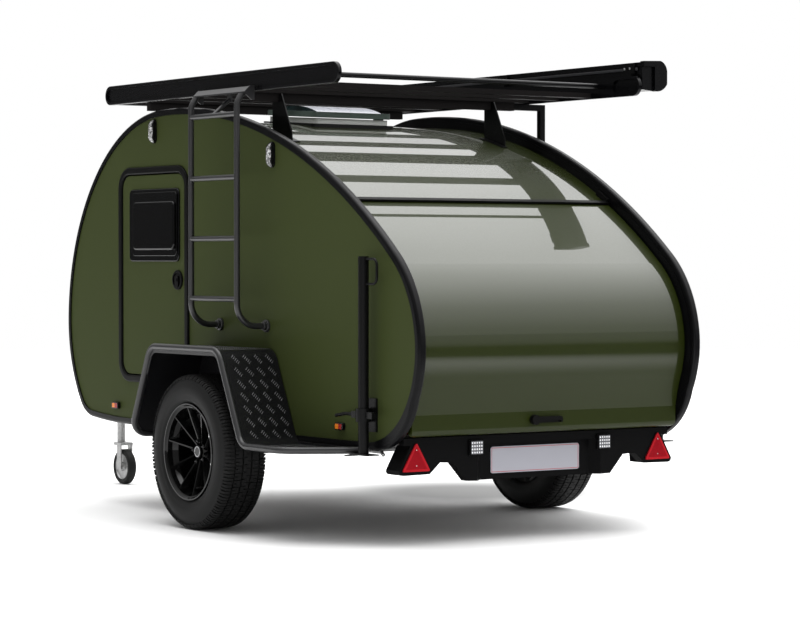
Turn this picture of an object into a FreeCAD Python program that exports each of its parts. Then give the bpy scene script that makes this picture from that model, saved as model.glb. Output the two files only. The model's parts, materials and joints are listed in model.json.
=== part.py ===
"""Two-berth teardrop trailer with roof rack, side ladder, awning and prop stands.

+X is the towing direction, +Y the left side, +Z up, in millimetres.  Every piece is placed from
the wheel axle, with Z = 0 on the ground, and moved along X at the end, so that the origin is the
middle of the trailer's box on the ground.
"""
import FreeCAD, Part
import math
import os

V = FreeCAD.Vector
os.makedirs("parts", exist_ok=True)

# ---------------------------------------------------------------- driving dimensions
REAR_END = -1513.0            # rearmost point of the edge trim
NOSE_X = 2847.0               # front of the coupling
AXLE_X = -(REAR_END + NOSE_X) / 2
FIT = 0.2                     # play between pieces that touch
GAP = 5.0                     # running gap round doors and hatch

# wheels
TYRE_R = 370.5
TYRE_WIDTH = 240.0
TYRE_OUT_Y = 1108.0           # outer wall of the tyre
TYRE_MID_Y = TYRE_OUT_Y - TYRE_WIDTH / 2
RIM_R = 232.5
RIM_BARREL_R = 209.0
RIM_LIP_Y = TYRE_OUT_Y - 7
HUB_FACE_Y = RIM_LIP_Y - 66   # the spokes run inwards by so much
SPOKE_COUNT = 10
SPOKE_TURN = -6.0             # first spoke from straight up, in degrees

# body shell
SIDE_Y = 792.0                # outer face of the side wall
SIDE_T = 26.0
SIDE_IN_Y = SIDE_Y - SIDE_T
TRIM_W = 33.0                 # depth of the edge trim beyond the side wall
TRIM_Y = 799.0
TRIM_CORNER_R = 321.0         # the trim is fuller at the rear bottom corner
TRIM_CORNER_X = -1152.4
TRIM_CORNER_Z = 756.2
FLANGE_T = 8.0                # inner flange of the edge trim
FLANGE_DEPTH = 62.0
SHELL_Y = SIDE_IN_Y - FLANGE_T
LEDGE_T = 3.0                 # bead on the trim's inner wall
LEDGE_OFFSETS = (-18.0, 8.0)
SKIN_SET = -30.0              # roof surface against the side wall's outline
PANEL_T = 28.0
HATCH_Y = 750.0               # half width of the hatch

# Side outline: arcs that meet without a kink, from the rear end of the flat bottom, up the back,
# over the roof and down the front.
BOTTOM_Z = 466.7
BOTTOM_REAR_X = -1091.0
FLOOR_T = 40.0
FLOOR_REAR_X = -1284.0
OUTLINE = [
    # radius, turn in degrees
    (373.0, 56.2),
    (465.0, 41.7),
    (533.0, 42.1),
    (3082.0, 42.3),
    (1006.0, 37.7),
    (1074.0, 48.4),
    (698.0, 38.0),
    (150.0, 47.6),
    (4013.0, 6.0),
]
HATCH_LOW_TURN = 68.0         # here the hatch leaves the outline
HATCH_TOP_TURN = 149.2
HINGE_STRIP_TURN = 0.42       # width of the strip over the seam, as a turn
FRONT_SEAM_TURN = 262.0
FRONT_LOW_TURN = 353.0
HATCH_BEND = (-1395.0, 650.0) # on the hollow curve down to the straight band
HATCH_BAND_X = -1384.0
HATCH_CREASE_Z = 597.0        # upper end of the hatch's straight band
HATCH_BAND_Z = 528.0             # its lower end
HATCH_LOW_Z = 501.0

# door
DOOR_X = (564.0, 1210.0)
DOOR_Z = (697.0, 1715.0)
DOOR_R = 70.0
DOOR_FRAME_W = 42.0
DOOR_FRAME_T = 12.0
DOOR_FACE_Y = SIDE_Y + 4
WINDOW_X = (608.0, 1126.0)
WINDOW_Z = (1275.0, 1643.0)
PANE_X = (630.0, 1059.0)
PANE_Z = (1333.0, 1579.0)
PANE_PAD_X = (620.0, 1083.0)  # raised field round the pane
PANE_PAD_Z = (1303.0, 1626.0)
LOCK_X = 628.0
LOCK_Z = 1183.0
LOCK_R = 49.0

# skylight
SKYLIGHT_HOLE_X = (275.0, 683.0)
SKYLIGHT_HOLE_Y = (-198.0, 198.0)
SKYLIGHT_TOP_Z = 2022.0       # upper face of its frame at the front edge of the lid
SKYLIGHT_TILT = 3.8           # degrees, with the roof
LID_X = (240.0, 718.0)
LID_Y = (-233.0, 233.0)
LID_WALL = 29.0
LID_RISE = 26.0

# roof rack
RACK_X = (-978.0, 1256.0)
RACK_Y = 875.0                # outer face of the side rails
RACK_Z = (2080.0, 2178.0)
RACK_RAIL_T = 20.0
RACK_LIP = 15.0
RACK_TUBE_R = 12.5
RACK_TUBE_XS = (-670.0, 960.0)
RACK_TUBE_Z = 2140.0
CROSSBAR_XS = (-50.0, 970.0)
CROSSBAR_W = 40.0
CROSSBAR_Z = (2044.0, 2086.0)
CROSSBAR_END_Y = 775.0
SLAT_COUNT = 8
SLAT_FIRST_X = -570.0
SLAT_PITCH = 257.0
SLAT_W = 60.0
SLAT_TOP_Z = 2110.0
FIN_Y = 630.0
FIN_T = 6.0

# ladder
LADDER_Y = 957.0
LADDER_XS = (-223.0, 212.0)
LADDER_LOW_Z = 970.0
RUNG_ZS = (1098.0, 1385.0, 1674.0, 1971.0)
LADDER_TUBE_R = 14.5
RUNG_R = 13.0

# awning
AWNING_X = (-962.0, 1340.0)
AWNING_Y = (-1045.0, -900.0)
AWNING_Z = (2104.0, 2254.0)
POST_X = -50.0
POST_W = 30.0
POST_Y = -960.0

# lamps
MARKER_XS = ((1250.0, 1316.0), (-908.0, -842.0))
MARKER_Z = (510.0, 544.0)
OVAL_LAMPS = (
    # x, z of the middle
    (877.0, 1935.0),
    (-276.0, 1780.0),
)
OVAL_HALF_W = 24.0
OVAL_HALF_H = 61.0
OVAL_BASE_T = 9.0
OVAL_DOME_T = 24.0            # height of the lens over its base

# fender
FENDER_TUBE_R = 16.5
FENDER_TUBE_Y = 1103.5
FENDER_TOP_Z = 864.0
FENDER_LOW_Z = 428.0
FENDER_FRONT_XS = (353.0, 550.0)      # upper and lower corner
FENDER_REAR_XS = (-301.0, -513.0)
FENDER_TAIL_X = -860.0
FENDER_END_X = -1048.0
FENDER_SKIN_T = 4.0

# chassis and coupling
CHASSIS_Z = (395.0, BOTTOM_Z - TRIM_W - 1)
CHASSIS_Y = (350.0, 410.0)
MEMBER_Y = 500.0              # half length of the cross members
MEMBER_XS = (-1250.0, -420.0, 420.0, 1290.0)
MEMBER_W = 60.0
DRAWBAR_Z = (385.0, 425.0)
DRAWBAR_NOSE_Y = 69.6
BALL_X = 2780.0
BALL_Z = 430.0
SOCKET_R = 25.3

# rear end
BUMPER_X = -1322.0
BUMPER_T = 50.0
BUMPER_TOP_Z = 493.0
LOBE_LENGTH = 108.0
PLATE_X = -1287.0
LAMP_Y = 364.0
LAMP_Z = 440.0
REFLECTOR_Y = 688.0

# jockey wheel and prop stands
JOCKEY_X = 2540.0
JOCKEY_Y = 100.0
JOCKEY_TUBE_R = 24.0
JOCKEY_WHEEL_R = 100.0
JOCKEY_WHEEL_X = JOCKEY_X - 40
STAND_X = -1141.0
STAND_Y = 846.0
STAND_R = 24.0
STAND_Z = (420.0, 1300.0)
SIDES = (("left", 1), ("right", -1))


# ---------------------------------------------------------------- small helpers
def box(x, y, z):
    """Box from (low, high) pairs, in either order."""
    x, y, z = sorted(x), sorted(y), sorted(z)
    return Part.makeBox(x[1] - x[0], y[1] - y[0], z[1] - z[0], V(x[0], y[0], z[0]))


def around(middle, half):
    return (middle - half, middle + half)


def grown(pair, by):
    return (pair[0] - by, pair[1] + by)


def cylinder(radius, start, end):
    start, end = V(*start), V(*end)
    return Part.makeCylinder(radius, (end - start).Length, start, end - start)


def bar(width, height, start, end):
    """Rectangular bar between two points, its height along Z."""
    start, end = V(*start), V(*end)
    run = end - start
    solid = Part.makeBox(run.Length, width, height, V(0, -width / 2, -height / 2))
    solid.rotate(V(0, 0, 0), V(0, 1, 0), -math.degrees(math.atan2(run.z, math.hypot(run.x, run.y))))
    solid.rotate(V(0, 0, 0), V(0, 0, 1), math.degrees(math.atan2(run.y, run.x)))
    solid.translate(start)
    return solid


def prism(points, run):
    """Solid from a polygon moved along a vector."""
    points = [V(*p) for p in points]
    return Part.Face(Part.makePolygon(points + [points[0]])).extrude(V(*run))


def fuse(solids):
    joined = solids[0]
    if len(solids) > 1:
        joined = joined.multiFuse(solids[1:])
    return joined.removeSplitter()


def largest(shape):
    return max(shape.Solids, key=lambda solid: solid.Volume)


def mirror_y(shape):
    return shape.mirror(V(0, 0, 0), V(0, 1, 0))


def sided(shape, sign):
    return shape if sign > 0 else mirror_y(shape)


def both_sides(shape):
    return Part.makeCompound([shape, mirror_y(shape)])


def bent_wire(points, bends):
    """Straight runs joined by tangent arcs, one bend radius for each inner corner."""
    points = [V(*p) for p in points]
    edges = []
    last = points[0]
    for before, corner, after, bend in zip(points, points[1:], points[2:], bends):
        into = (corner - before).normalize()
        out = (after - corner).normalize()
        turn = into.getAngle(out)
        cut = bend * math.tan(turn / 2)
        start = corner - into * cut
        end = corner + out * cut
        inward = (out - into).normalize()
        middle = corner + inward * (bend / math.cos(turn / 2) - bend)
        edges.append(Part.LineSegment(last, start).toShape())
        edges.append(Part.Arc(start, middle, end).toShape())
        last = end
    edges.append(Part.LineSegment(last, points[-1]).toShape())
    return Part.Wire(edges)


def rod(points, bend, radius):
    """Round bar along a bent path; bend is one radius, or one for each corner."""
    bends = bend if isinstance(bend, (list, tuple)) else [bend] * (len(points) - 2)
    start, following = V(*points[0]), V(*points[1])
    circle = Part.Circle(start, following - start, radius).toShape()
    return bent_wire(points, bends).makePipeShell([Part.Wire([circle])], True, True)


def bent_plate(points, bends, y, thickness):
    """Plate that follows a bent path of (x, z) points, across the range y."""
    path = [(px, y[0], pz) for px, pz in points]
    start = V(*path[0])
    along = (V(*path[1]) - start).normalize()
    normal = along.cross(V(0, 1, 0)) * thickness
    across = V(0, y[1] - y[0], 0)
    corners = [start, start + across, start + across + normal, start + normal, start]
    return bent_wire(path, bends).makePipeShell([Part.makePolygon(corners)], True, False)


def rounded_rectangle(x, z, radius, y):
    """Wire in a plane of constant Y."""
    (x0, x1), (z0, z1) = x, z
    k = radius * (1 - math.sqrt(0.5))
    sides = [
        (V(x0 + radius, y, z0), V(x1 - radius, y, z0), V(x1 - k, y, z0 + k)),
        (V(x1, y, z0 + radius), V(x1, y, z1 - radius), V(x1 - k, y, z1 - k)),
        (V(x1 - radius, y, z1), V(x0 + radius, y, z1), V(x0 + k, y, z1 - k)),
        (V(x0, y, z1 - radius), V(x0, y, z0 + radius), V(x0 + k, y, z0 + k)),
    ]
    edges = []
    for i, (start, end, middle) in enumerate(sides):
        following = sides[(i + 1) % 4][0]
        if (end - start).Length > 0.01:
            edges.append(Part.LineSegment(start, end).toShape())
        edges.append(Part.Arc(end, middle, following).toShape())
    return Part.Wire(edges)


def rounded_slab(x, z, radius, y0, y1):
    return Part.Face(rounded_rectangle(x, z, radius, y0)).extrude(V(0, y1 - y0, 0))


def rear_slab(y, z, radius, x0, x1):
    """Rounded slab that faces the rear."""
    slab = rounded_slab(y, z, radius, -x1, -x0)
    slab.rotate(V(0, 0, 0), V(0, 0, 1), 90)
    return slab


def round_face_y(shape, y, radius):
    """Round the edges of the shape's face at this Y."""
    edges = [
        e for e in shape.Edges
        if abs(e.BoundBox.YMin - y) < 0.01 and abs(e.BoundBox.YMax - y) < 0.01
    ]
    return shape.makeFillet(radius, edges)


def revolve_y(profile, centre):
    """Turn an (offset along Y, radius) outline about a Y axis through centre."""
    points = [V(centre[0], centre[1] + along, centre[2] + radius) for along, radius in profile]
    face = Part.Face(Part.makePolygon(points + [points[0]]))
    return face.revolve(V(*centre), V(0, 1, 0), 360)


def save(node, shape):
    placed = shape.copy()
    placed.translate(V(AXLE_X, 0, 0))
    placed.exportStep("parts/%s.step" % node)


# ---------------------------------------------------------------- the teardrop outline
def outline_point(turned, offset, y=0.0):
    """Point where the outline has turned so many degrees, moved outwards by offset."""
    x, z = BOTTOM_REAR_X, BOTTOM_Z - offset
    done = 0.0
    for radius, turn in OUTLINE:
        reach = radius + offset
        step = min(turned - done, turn)
        a, b = math.radians(done), math.radians(done + step)
        x += reach * (math.sin(a) - math.sin(b))
        z += reach * (math.cos(a) - math.cos(b))
        done += step
        if done >= turned - 1e-9:
            break
    return V(x, y, z)


def outline_run(start, end, offset, y=0.0):
    """Edges of the outline between two turns."""
    stops = [start]
    done = 0.0
    for _, turn in OUTLINE:
        done += turn
        if start + 0.01 < done < end - 0.01:
            stops.append(done)
    stops.append(end)
    return [
        Part.Arc(
            outline_point(a, offset, y),
            outline_point((a + b) / 2, offset, y),
            outline_point(b, offset, y),
        ).toShape()
        for a, b in zip(stops, stops[1:])
    ]


def outline_slab(offset, y0, y1):
    """Slab with the teardrop outline."""
    edges = outline_run(0, 360, offset, y0)
    edges.append(Part.LineSegment(outline_point(360, offset, y0), outline_point(0, offset, y0)).toShape())
    return Part.Face(Part.Wire(edges)).extrude(V(0, y1 - y0, 0))


def curved_panel(start, end, outer, inner, half_width):
    """Panel that follows the outline between two turns."""
    y = -half_width
    edges = outline_run(start, end, outer, y) + outline_run(start, end, inner, y)
    for turned in (start, end):
        ends = outline_point(turned, inner, y), outline_point(turned, outer, y)
        edges.append(Part.LineSegment(*ends).toShape())
    wire = Part.Wire(Part.__sortEdges__(edges))
    return Part.Face(wire).extrude(V(0, 2 * half_width, 0))


def roof_solid():
    return outline_slab(SKIN_SET + FIT, -SHELL_Y, SHELL_Y)


def roof_pad(x, y, thickness):
    """Plate that lies on the roof."""
    layer = outline_slab(SKIN_SET + thickness, y[0], y[1]).cut(roof_solid())
    return box(x, y, (BOTTOM_Z + 900, CROSSBAR_Z[0])).common(layer)


# ---------------------------------------------------------------- body shell
def side_panel():
    opening = rounded_slab(grown(DOOR_X, GAP + 8), grown(DOOR_Z, GAP + 8), DOOR_R + 8, 0, 2000)
    return outline_slab(0, SIDE_IN_Y, SIDE_Y).cut(opening)


def trim_slab(grow, y0, y1):
    """Slab with the edge trim's outer line."""
    ends = [(TRIM_CORNER_X, y, TRIM_CORNER_Z) for y in (y0, y1)]
    corner = cylinder(TRIM_CORNER_R + grow, *ends)
    return fuse([outline_slab(TRIM_W + grow, y0, y1), corner])


def body_trim():
    """Rounded edge strip with an inner flange between side wall and roof, and a bead on it."""
    strip = trim_slab(0, SHELL_Y, TRIM_Y)
    strip = round_face_y(strip, TRIM_Y, 15)
    strip = round_face_y(strip, SHELL_Y, 11)
    strip = strip.cut(outline_slab(0, SIDE_IN_Y, TRIM_Y + 1))
    strip = strip.cut(outline_slab(-FLANGE_DEPTH, SHELL_Y - 1, SIDE_IN_Y + 1))
    bead = outline_slab(LEDGE_OFFSETS[1], SHELL_Y - LEDGE_T, SHELL_Y)
    bead = bead.cut(outline_slab(LEDGE_OFFSETS[0], SHELL_Y - LEDGE_T - 1, SHELL_Y + 1))
    return fuse([strip, bead])


def door_frames():
    """Black seal frames with rounded edges round the door openings."""
    ring = rounded_slab(grown(DOOR_X, DOOR_FRAME_W), grown(DOOR_Z, DOOR_FRAME_W),
                        DOOR_R + DOOR_FRAME_W, SIDE_Y, SIDE_Y + DOOR_FRAME_T)
    hole = rounded_slab(grown(DOOR_X, GAP), grown(DOOR_Z, GAP), DOOR_R, 700, 900)
    ring = round_face_y(ring.cut(hole), SIDE_Y + DOOR_FRAME_T, 8)
    collar = rounded_slab(grown(DOOR_X, GAP + 8), grown(DOOR_Z, GAP + 8), DOOR_R + 8, SIDE_IN_Y, SIDE_Y)
    return both_sides(fuse([ring, collar.cut(hole)]))


def door():
    slab = round_face_y(rounded_slab(DOOR_X, DOOR_Z, DOOR_R, SIDE_IN_Y, DOOR_FACE_Y), DOOR_FACE_Y, 3)
    return slab.cut(rounded_slab(grown(PANE_X, 12), grown(PANE_Z, 12), 30, 700, 900))


def door_window():
    """Bulged dark pane in a flat black frame."""
    frame_y = DOOR_FACE_Y + 9
    frame = round_face_y(rounded_slab(WINDOW_X, WINDOW_Z, 30, DOOR_FACE_Y, frame_y), frame_y, 5)
    pad_y = frame_y + 6
    pad = round_face_y(rounded_slab(PANE_PAD_X, PANE_PAD_Z, 26, DOOR_FACE_Y, pad_y), pad_y, 3)
    pane_y = pad_y + 12
    pane = rounded_slab(PANE_X, PANE_Z, 30, SIDE_IN_Y + 8, pane_y)
    return fuse([frame, pad, round_face_y(pane, pane_y, 9)])


def door_lock():
    """Round recessed handle with its key cylinder."""
    top = DOOR_FACE_Y + 10
    base = round_face_y(cylinder(LOCK_R, (LOCK_X, DOOR_FACE_Y, LOCK_Z), (LOCK_X, top, LOCK_Z)), top, 4)
    base = base.cut(cylinder(LOCK_R - 11, (LOCK_X, top - 7, LOCK_Z), (LOCK_X, top + 1, LOCK_Z)))
    paddle = rounded_slab(around(LOCK_X, 16), (LOCK_Z - 40, LOCK_Z + 22), 10, top - 7, top + 3)
    key = cylinder(9, (LOCK_X, top, LOCK_Z), (LOCK_X, top + 7, LOCK_Z))
    return fuse([base, paddle, key])


def roof_panel():
    panel = curved_panel(HATCH_TOP_TURN, FRONT_SEAM_TURN, SKIN_SET, SKIN_SET - PANEL_T, SHELL_Y)
    return panel.cut(box(SKYLIGHT_HOLE_X, SKYLIGHT_HOLE_Y, (1800, 2100)))


def front_panel():
    return curved_panel(FRONT_SEAM_TURN, FRONT_LOW_TURN, SKIN_SET, SKIN_SET - PANEL_T, SHELL_Y)


def floor_panel():
    x1 = outline_point(FRONT_LOW_TURN, SKIN_SET).x - 3
    half = SHELL_Y - LEDGE_T - FIT
    return box((FLOOR_REAR_X, x1), (-half, half), (BOTTOM_Z, BOTTOM_Z + FLOOR_T))


def hatch():
    """Curved rear panel whose lowest part drops straight and curls in at the bottom."""
    y = -HATCH_Y
    top = HATCH_TOP_TURN - 0.12
    reach = HATCH_BAND_Z - HATCH_LOW_Z
    edges = [Part.Arc(
        V(HATCH_BAND_X, y, HATCH_BAND_Z),
        V(HATCH_BAND_X + reach * (1 - math.sqrt(0.5)), y, HATCH_LOW_Z + reach * (1 - math.sqrt(0.5))),
        V(HATCH_BAND_X + reach, y, HATCH_LOW_Z),
    ).toShape()]
    for offset, depth in ((SKIN_SET, 0), (SKIN_SET - PANEL_T, PANEL_T)):
        edges += outline_run(HATCH_LOW_TURN, top, offset, y)
        edges.append(Part.Arc(
            outline_point(HATCH_LOW_TURN, offset, y),
            V(HATCH_BEND[0] + depth, y, HATCH_BEND[1] + depth / 5),
            V(HATCH_BAND_X + depth, y, HATCH_CREASE_Z),
        ).toShape())
    back = V(HATCH_BAND_X + PANEL_T + 2, y, HATCH_LOW_Z)
    for start, end in (
        (outline_point(top, SKIN_SET, y), outline_point(top, SKIN_SET - PANEL_T, y)),
        (V(HATCH_BAND_X, y, HATCH_CREASE_Z), V(HATCH_BAND_X, y, HATCH_BAND_Z)),
        (V(HATCH_BAND_X + reach, y, HATCH_LOW_Z), back),
        (back, V(HATCH_BAND_X + PANEL_T, y, HATCH_CREASE_Z)),
    ):
        edges.append(Part.LineSegment(start, end).toShape())
    wire = Part.Wire(Part.__sortEdges__(edges))
    panel = Part.Face(wire).extrude(V(0, 2 * HATCH_Y, 0))
    return panel.common(rear_slab((-HATCH_Y, HATCH_Y), (HATCH_LOW_Z, 2600), 20, REAR_END, 0))


def hatch_hinge():
    """Strip across the roof that the hatch turns under, with a bracket at each end."""
    strip = curved_panel(HATCH_TOP_TURN, HATCH_TOP_TURN + HINGE_STRIP_TURN, SKIN_SET + 12, SKIN_SET + FIT,
                         SHELL_Y - FIT)
    plates = []
    for s in (1, -1):
        start, end = HATCH_TOP_TURN + 0.2, HATCH_TOP_TURN + 1.9
        plate = curved_panel(start, end, SKIN_SET + 26, SKIN_SET + FIT, SHELL_Y)
        width = (s * (SHELL_Y - 16), s * (SHELL_Y - LEDGE_T - FIT))
        plates.append(plate.common(box((-2000, 2000), width, (0, 3000))))
    return fuse([strip] + plates)


def hatch_handle():
    """Long grip on the hatch's straight band, with a round key cylinder at one end."""
    x = HATCH_BAND_X
    grip = rear_slab((-71, 80), (544, 572), 10, x - 20, x - FIT)
    scoop = rear_slab((-61, 52), (538, 553), 6, x - 21, x - 9)
    key = cylinder(22, (x - 26, 84, 559), (x - FIT, 84, 559))
    return fuse([grip.cut(scoop), key])


def bulkhead():
    """Partition between the cabin and the rear galley."""
    inner = outline_slab(SKIN_SET - PANEL_T, -SHELL_Y, SHELL_Y)
    return box((-700, -682), (-SHELL_Y, SHELL_Y), (BOTTOM_Z + FLOOR_T, 2100)).common(inner)


def galley_unit():
    """Worktop on a cupboard carcass behind the hatch."""
    y = (-SHELL_Y + 2, SHELL_Y - 2)
    top = box((-1300, -700), y, (900, 928))
    carcass = box((-1200, -700), y, (BOTTOM_Z + FLOOR_T, 900))
    bays = [box((-1300, -715), (start, start + 460), (BOTTOM_Z + 65, 880)) for start in (-720, -230, 260)]
    return fuse([top, carcass]).cut(Part.makeCompound(bays))


def skylight_frame():
    """Gasket plate on the roof with a narrower frame on it."""
    z = SKYLIGHT_TOP_Z
    plate = rim_slab(grown(LID_X, 13), grown(LID_Y, 13), 30, (z - 60, z - 26))
    rim = rim_slab(grown(LID_X, -12), grown(LID_Y, -12), 24, (z - 27, z))
    hole = box(SKYLIGHT_HOLE_X, SKYLIGHT_HOLE_Y, (1800, 2100))
    return largest(with_the_roof(fuse([plate, rim])).cut(hole).cut(roof_solid()))


def with_the_roof(shape):
    """Leans a level shape back about the front edge of the lid."""
    tilted = shape.copy()
    tilted.rotate(V(LID_X[1], 0, SKYLIGHT_TOP_Z), V(0, 1, 0), -SKYLIGHT_TILT)
    return tilted


def rim_slab(x, y, radius, z):
    """Level slab with rounded corners."""
    slab = rounded_slab(x, y, radius, -z[1], -z[0])
    slab.rotate(V(0, 0, 0), V(1, 0, 0), -90)
    return slab.mirror(V(0, 0, 0), V(0, 1, 0))


def skylight_lid():
    """Tinted lid: a low wall all round and a barrel dome on it."""
    z = SKYLIGHT_TOP_Z + GAP
    foot_z = z + LID_WALL
    wall = rim_slab(LID_X, LID_Y, 34, (z, foot_z))
    dome_x, dome_y = grown(LID_X, -44), grown(LID_Y, -40)
    radius = bulge_radius((dome_x[1] - dome_x[0]) / 2, LID_RISE)
    middle, axis_z = sum(dome_x) / 2, foot_z + LID_RISE - radius
    barrel = cylinder(radius, (middle, dome_y[0], axis_z), (middle, dome_y[1], axis_z))
    dome = barrel.common(box(dome_x, dome_y, (foot_z - 1, foot_z + LID_RISE + 1)))
    hollow = rim_slab(grown(LID_X, -8), grown(LID_Y, -8), 26, (z - 1, foot_z - 6))
    return with_the_roof(fuse([wall, dome]).cut(hollow))


# ---------------------------------------------------------------- chassis
def chassis_frame():
    rails = [box((MEMBER_XS[0], MEMBER_XS[-1] + MEMBER_W), (s * CHASSIS_Y[0], s * CHASSIS_Y[1]), CHASSIS_Z)
             for s in (1, -1)]
    members = [box((x, x + MEMBER_W), (-MEMBER_Y, MEMBER_Y), CHASSIS_Z) for x in MEMBER_XS]
    outriggers = [box((-1060, -1030), (s * CHASSIS_Y[1], s * 762), (418, CHASSIS_Z[1])) for s in (1, -1)]
    stub = rod([(-1045, 750, 424), (-1140, 750, 424), (-1160, 750, 410)], 8, 8.5)
    return fuse(rails + members + outriggers + [stub, mirror_y(stub)])


def drawbar():
    z = sum(DRAWBAR_Z) / 2
    beams = [bar(60, DRAWBAR_Z[1] - DRAWBAR_Z[0], (1370, s * 470, z), (2530, s * 28, z)) for s in (1, -1)]
    nose = box((2480, 2640), around(0, DRAWBAR_NOSE_Y), (DRAWBAR_Z[0], DRAWBAR_Z[1] - FIT))
    return fuse(beams + [nose])


def coupling():
    """Ball coupling with its grip, bolted on the drawbar's nose."""
    body = box((2600, 2740), (-38, 38), (425, 465))
    head = cylinder(47, (BALL_X, 0, BALL_Z - 25), (BALL_X, 0, BALL_Z + 45))
    tip = box((2740, 2790), (-34, 34), (BALL_Z - 5, BALL_Z + 38))
    nose = box((BALL_X, NOSE_X), (-20, 20), (BALL_Z - 20, BALL_Z + 10))
    socket = cylinder(SOCKET_R, (BALL_X, 0, BALL_Z - 30), (BALL_X, 0, BALL_Z))
    dome = Part.makeSphere(SOCKET_R, V(BALL_X, 0, BALL_Z))
    grip = rod([(2700, 0, 460), (2720, 0, 520), (2820, 0, 545)], 20, 11)
    return fuse([body, head, tip, nose, grip]).cut(socket).cut(dome)


def axle():
    """Torsion beam with trailing arms and stub axles."""
    beam = box((110, 190), (-800, 800), (338, 386))
    arms = []
    for s in (1, -1):
        arms.append(bar(30, 70, (150, s * 815, 360), (-10, s * 815, TYRE_R)))
        arms.append(cylinder(38, (0, s * 800, TYRE_R), (0, s * 845, TYRE_R)))
    brackets = [box((110, 190), (s * 355, s * 405), (385, CHASSIS_Z[0] - FIT)) for s in (1, -1)]
    return fuse([beam] + arms + brackets)


# ---------------------------------------------------------------- wheels
def tyre():
    half, lip = TYRE_WIDTH / 2, RIM_R
    outer_half = [
        (half - 27, RIM_BARREL_R + 7), (half - 16, lip + 3), (half - 4, lip + 16), (half, lip + 46),
        (half - 1, TYRE_R - 56), (half - 4, TYRE_R - 30), (half - 10, TYRE_R - 13), (half - 22, TYRE_R - 4),
        (half - 44, TYRE_R),
    ]
    profile = outer_half + [(-along, radius) for along, radius in reversed(outer_half)]
    return revolve_y(profile, (0, TYRE_MID_Y, TYRE_R))


def rim():
    """Deep barrel and ten blades that run inwards to a small hub."""
    lip = RIM_LIP_Y - TYRE_MID_Y
    barrel = revolve_y([
        (-lip + 4, RIM_R), (-lip + 14, RIM_BARREL_R + 5), (lip - 14, RIM_BARREL_R + 5), (lip - 4, RIM_R),
        (lip, RIM_R - 2), (lip, RIM_R - 8), (lip - 8, RIM_R - 15), (lip - 12, RIM_BARREL_R + 2),
        (lip - 34, RIM_BARREL_R - 4), (lip - 60, RIM_BARREL_R - 16), (-lip + 30, RIM_BARREL_R - 16),
        (-lip + 10, RIM_BARREL_R - 2),
    ], (0, TYRE_MID_Y, TYRE_R))
    disc = revolve_y([(-34, 0), (-34, 66), (-12, 66), (0, 52), (0, 0)], (0, HUB_FACE_Y, TYRE_R))
    cap_y = HUB_FACE_Y + 12
    cap = round_face_y(cylinder(31, (0, HUB_FACE_Y - 2, TYRE_R), (0, cap_y, TYRE_R)), cap_y, 4)
    blade = spoke()
    blades = []
    for i in range(SPOKE_COUNT):
        turned = blade.copy()
        turned.rotate(V(0, 0, 0), V(0, 1, 0), -(SPOKE_TURN + i * 360 / SPOKE_COUNT))
        turned.translate(V(0, 0, TYRE_R))
        blades.append(turned)
    return fuse([barrel, disc] + blades + [cap])


def spoke():
    """Blade with a ridge, narrow at the barrel and wide at the hub, pointing up."""
    sections = []
    for radius, front, half, ridge, depth in (
        # distance from the axle, front face, half width, half ridge, depth
        (40.0, HUB_FACE_Y - 2, 18.0, 4.0, 32.0),
        (RIM_BARREL_R + 3, RIM_LIP_Y - 14, 12.5, 3.0, 30.0),
    ):
        back = front - depth
        flank = (half, back), (ridge, front)
        points = [V(-x, y, radius) for x, y in flank] + [V(x, y, radius) for x, y in flank[::-1]]
        sections.append(Part.makePolygon(points + [points[0]]))
    return Part.makeLoft(sections, True, True)


def hub():
    drum = cylinder(125, (0, 850, TYRE_R), (0, 905, TYRE_R))
    flange = cylinder(60, (0, 905, TYRE_R), (0, HUB_FACE_Y - 34 - FIT, TYRE_R))
    return fuse([drum, flange])


# ---------------------------------------------------------------- fenders
def fender():
    """Plate arch over the wheel, closed towards the wall, that runs on as a step behind it."""
    y = (TRIM_Y + 1, FENDER_TUBE_Y - 12)
    arch = bent_plate([
        (FENDER_FRONT_XS[1] - 6, FENDER_LOW_Z + 14), (FENDER_FRONT_XS[0], FENDER_TOP_Z),
        (FENDER_REAR_XS[0], FENDER_TOP_Z), (FENDER_REAR_XS[1], FENDER_LOW_Z),
        (FENDER_TAIL_X, FENDER_LOW_Z),
    ], (78, 78, 78), y, FENDER_SKIN_T)
    step = prism([
        (FENDER_TAIL_X + 1, y[0], FENDER_LOW_Z), (FENDER_TAIL_X + 1, y[1], FENDER_LOW_Z),
        (FENDER_TAIL_X, y[1], FENDER_LOW_Z), (FENDER_END_X + 14, y[0], FENDER_LOW_Z),
    ], (0, 0, -FENDER_SKIN_T))
    liner = prism([
        (FENDER_FRONT_XS[1] - 6, y[0], FENDER_LOW_Z + 14), (FENDER_FRONT_XS[0] + 6, y[0], FENDER_TOP_Z - 2),
        (FENDER_REAR_XS[0] - 6, y[0], FENDER_TOP_Z - 2), (FENDER_REAR_XS[1] + 12, y[0], FENDER_LOW_Z),
    ], (0, 3, 0))
    corners = [e for e in liner.Edges if e.BoundBox.YLength > 2 and e.BoundBox.ZMin > FENDER_TOP_Z - 10]
    liner = liner.makeFillet(76, corners)
    liner = liner.cut(box((-170, 170), (y[0] - 1, y[0] + 4), (0, TYRE_R + 90)))
    step_xs = (FENDER_END_X + 16, FENDER_REAR_XS[1] + 14)
    upstand = box(step_xs, (y[0], y[0] + 3), (FENDER_LOW_Z - FENDER_SKIN_T, FENDER_LOW_Z + 9))
    plate = fuse([arch, step, liner, upstand]).cut(fender_rod(FENDER_TUBE_R + FIT))
    return largest(plate)


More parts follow.
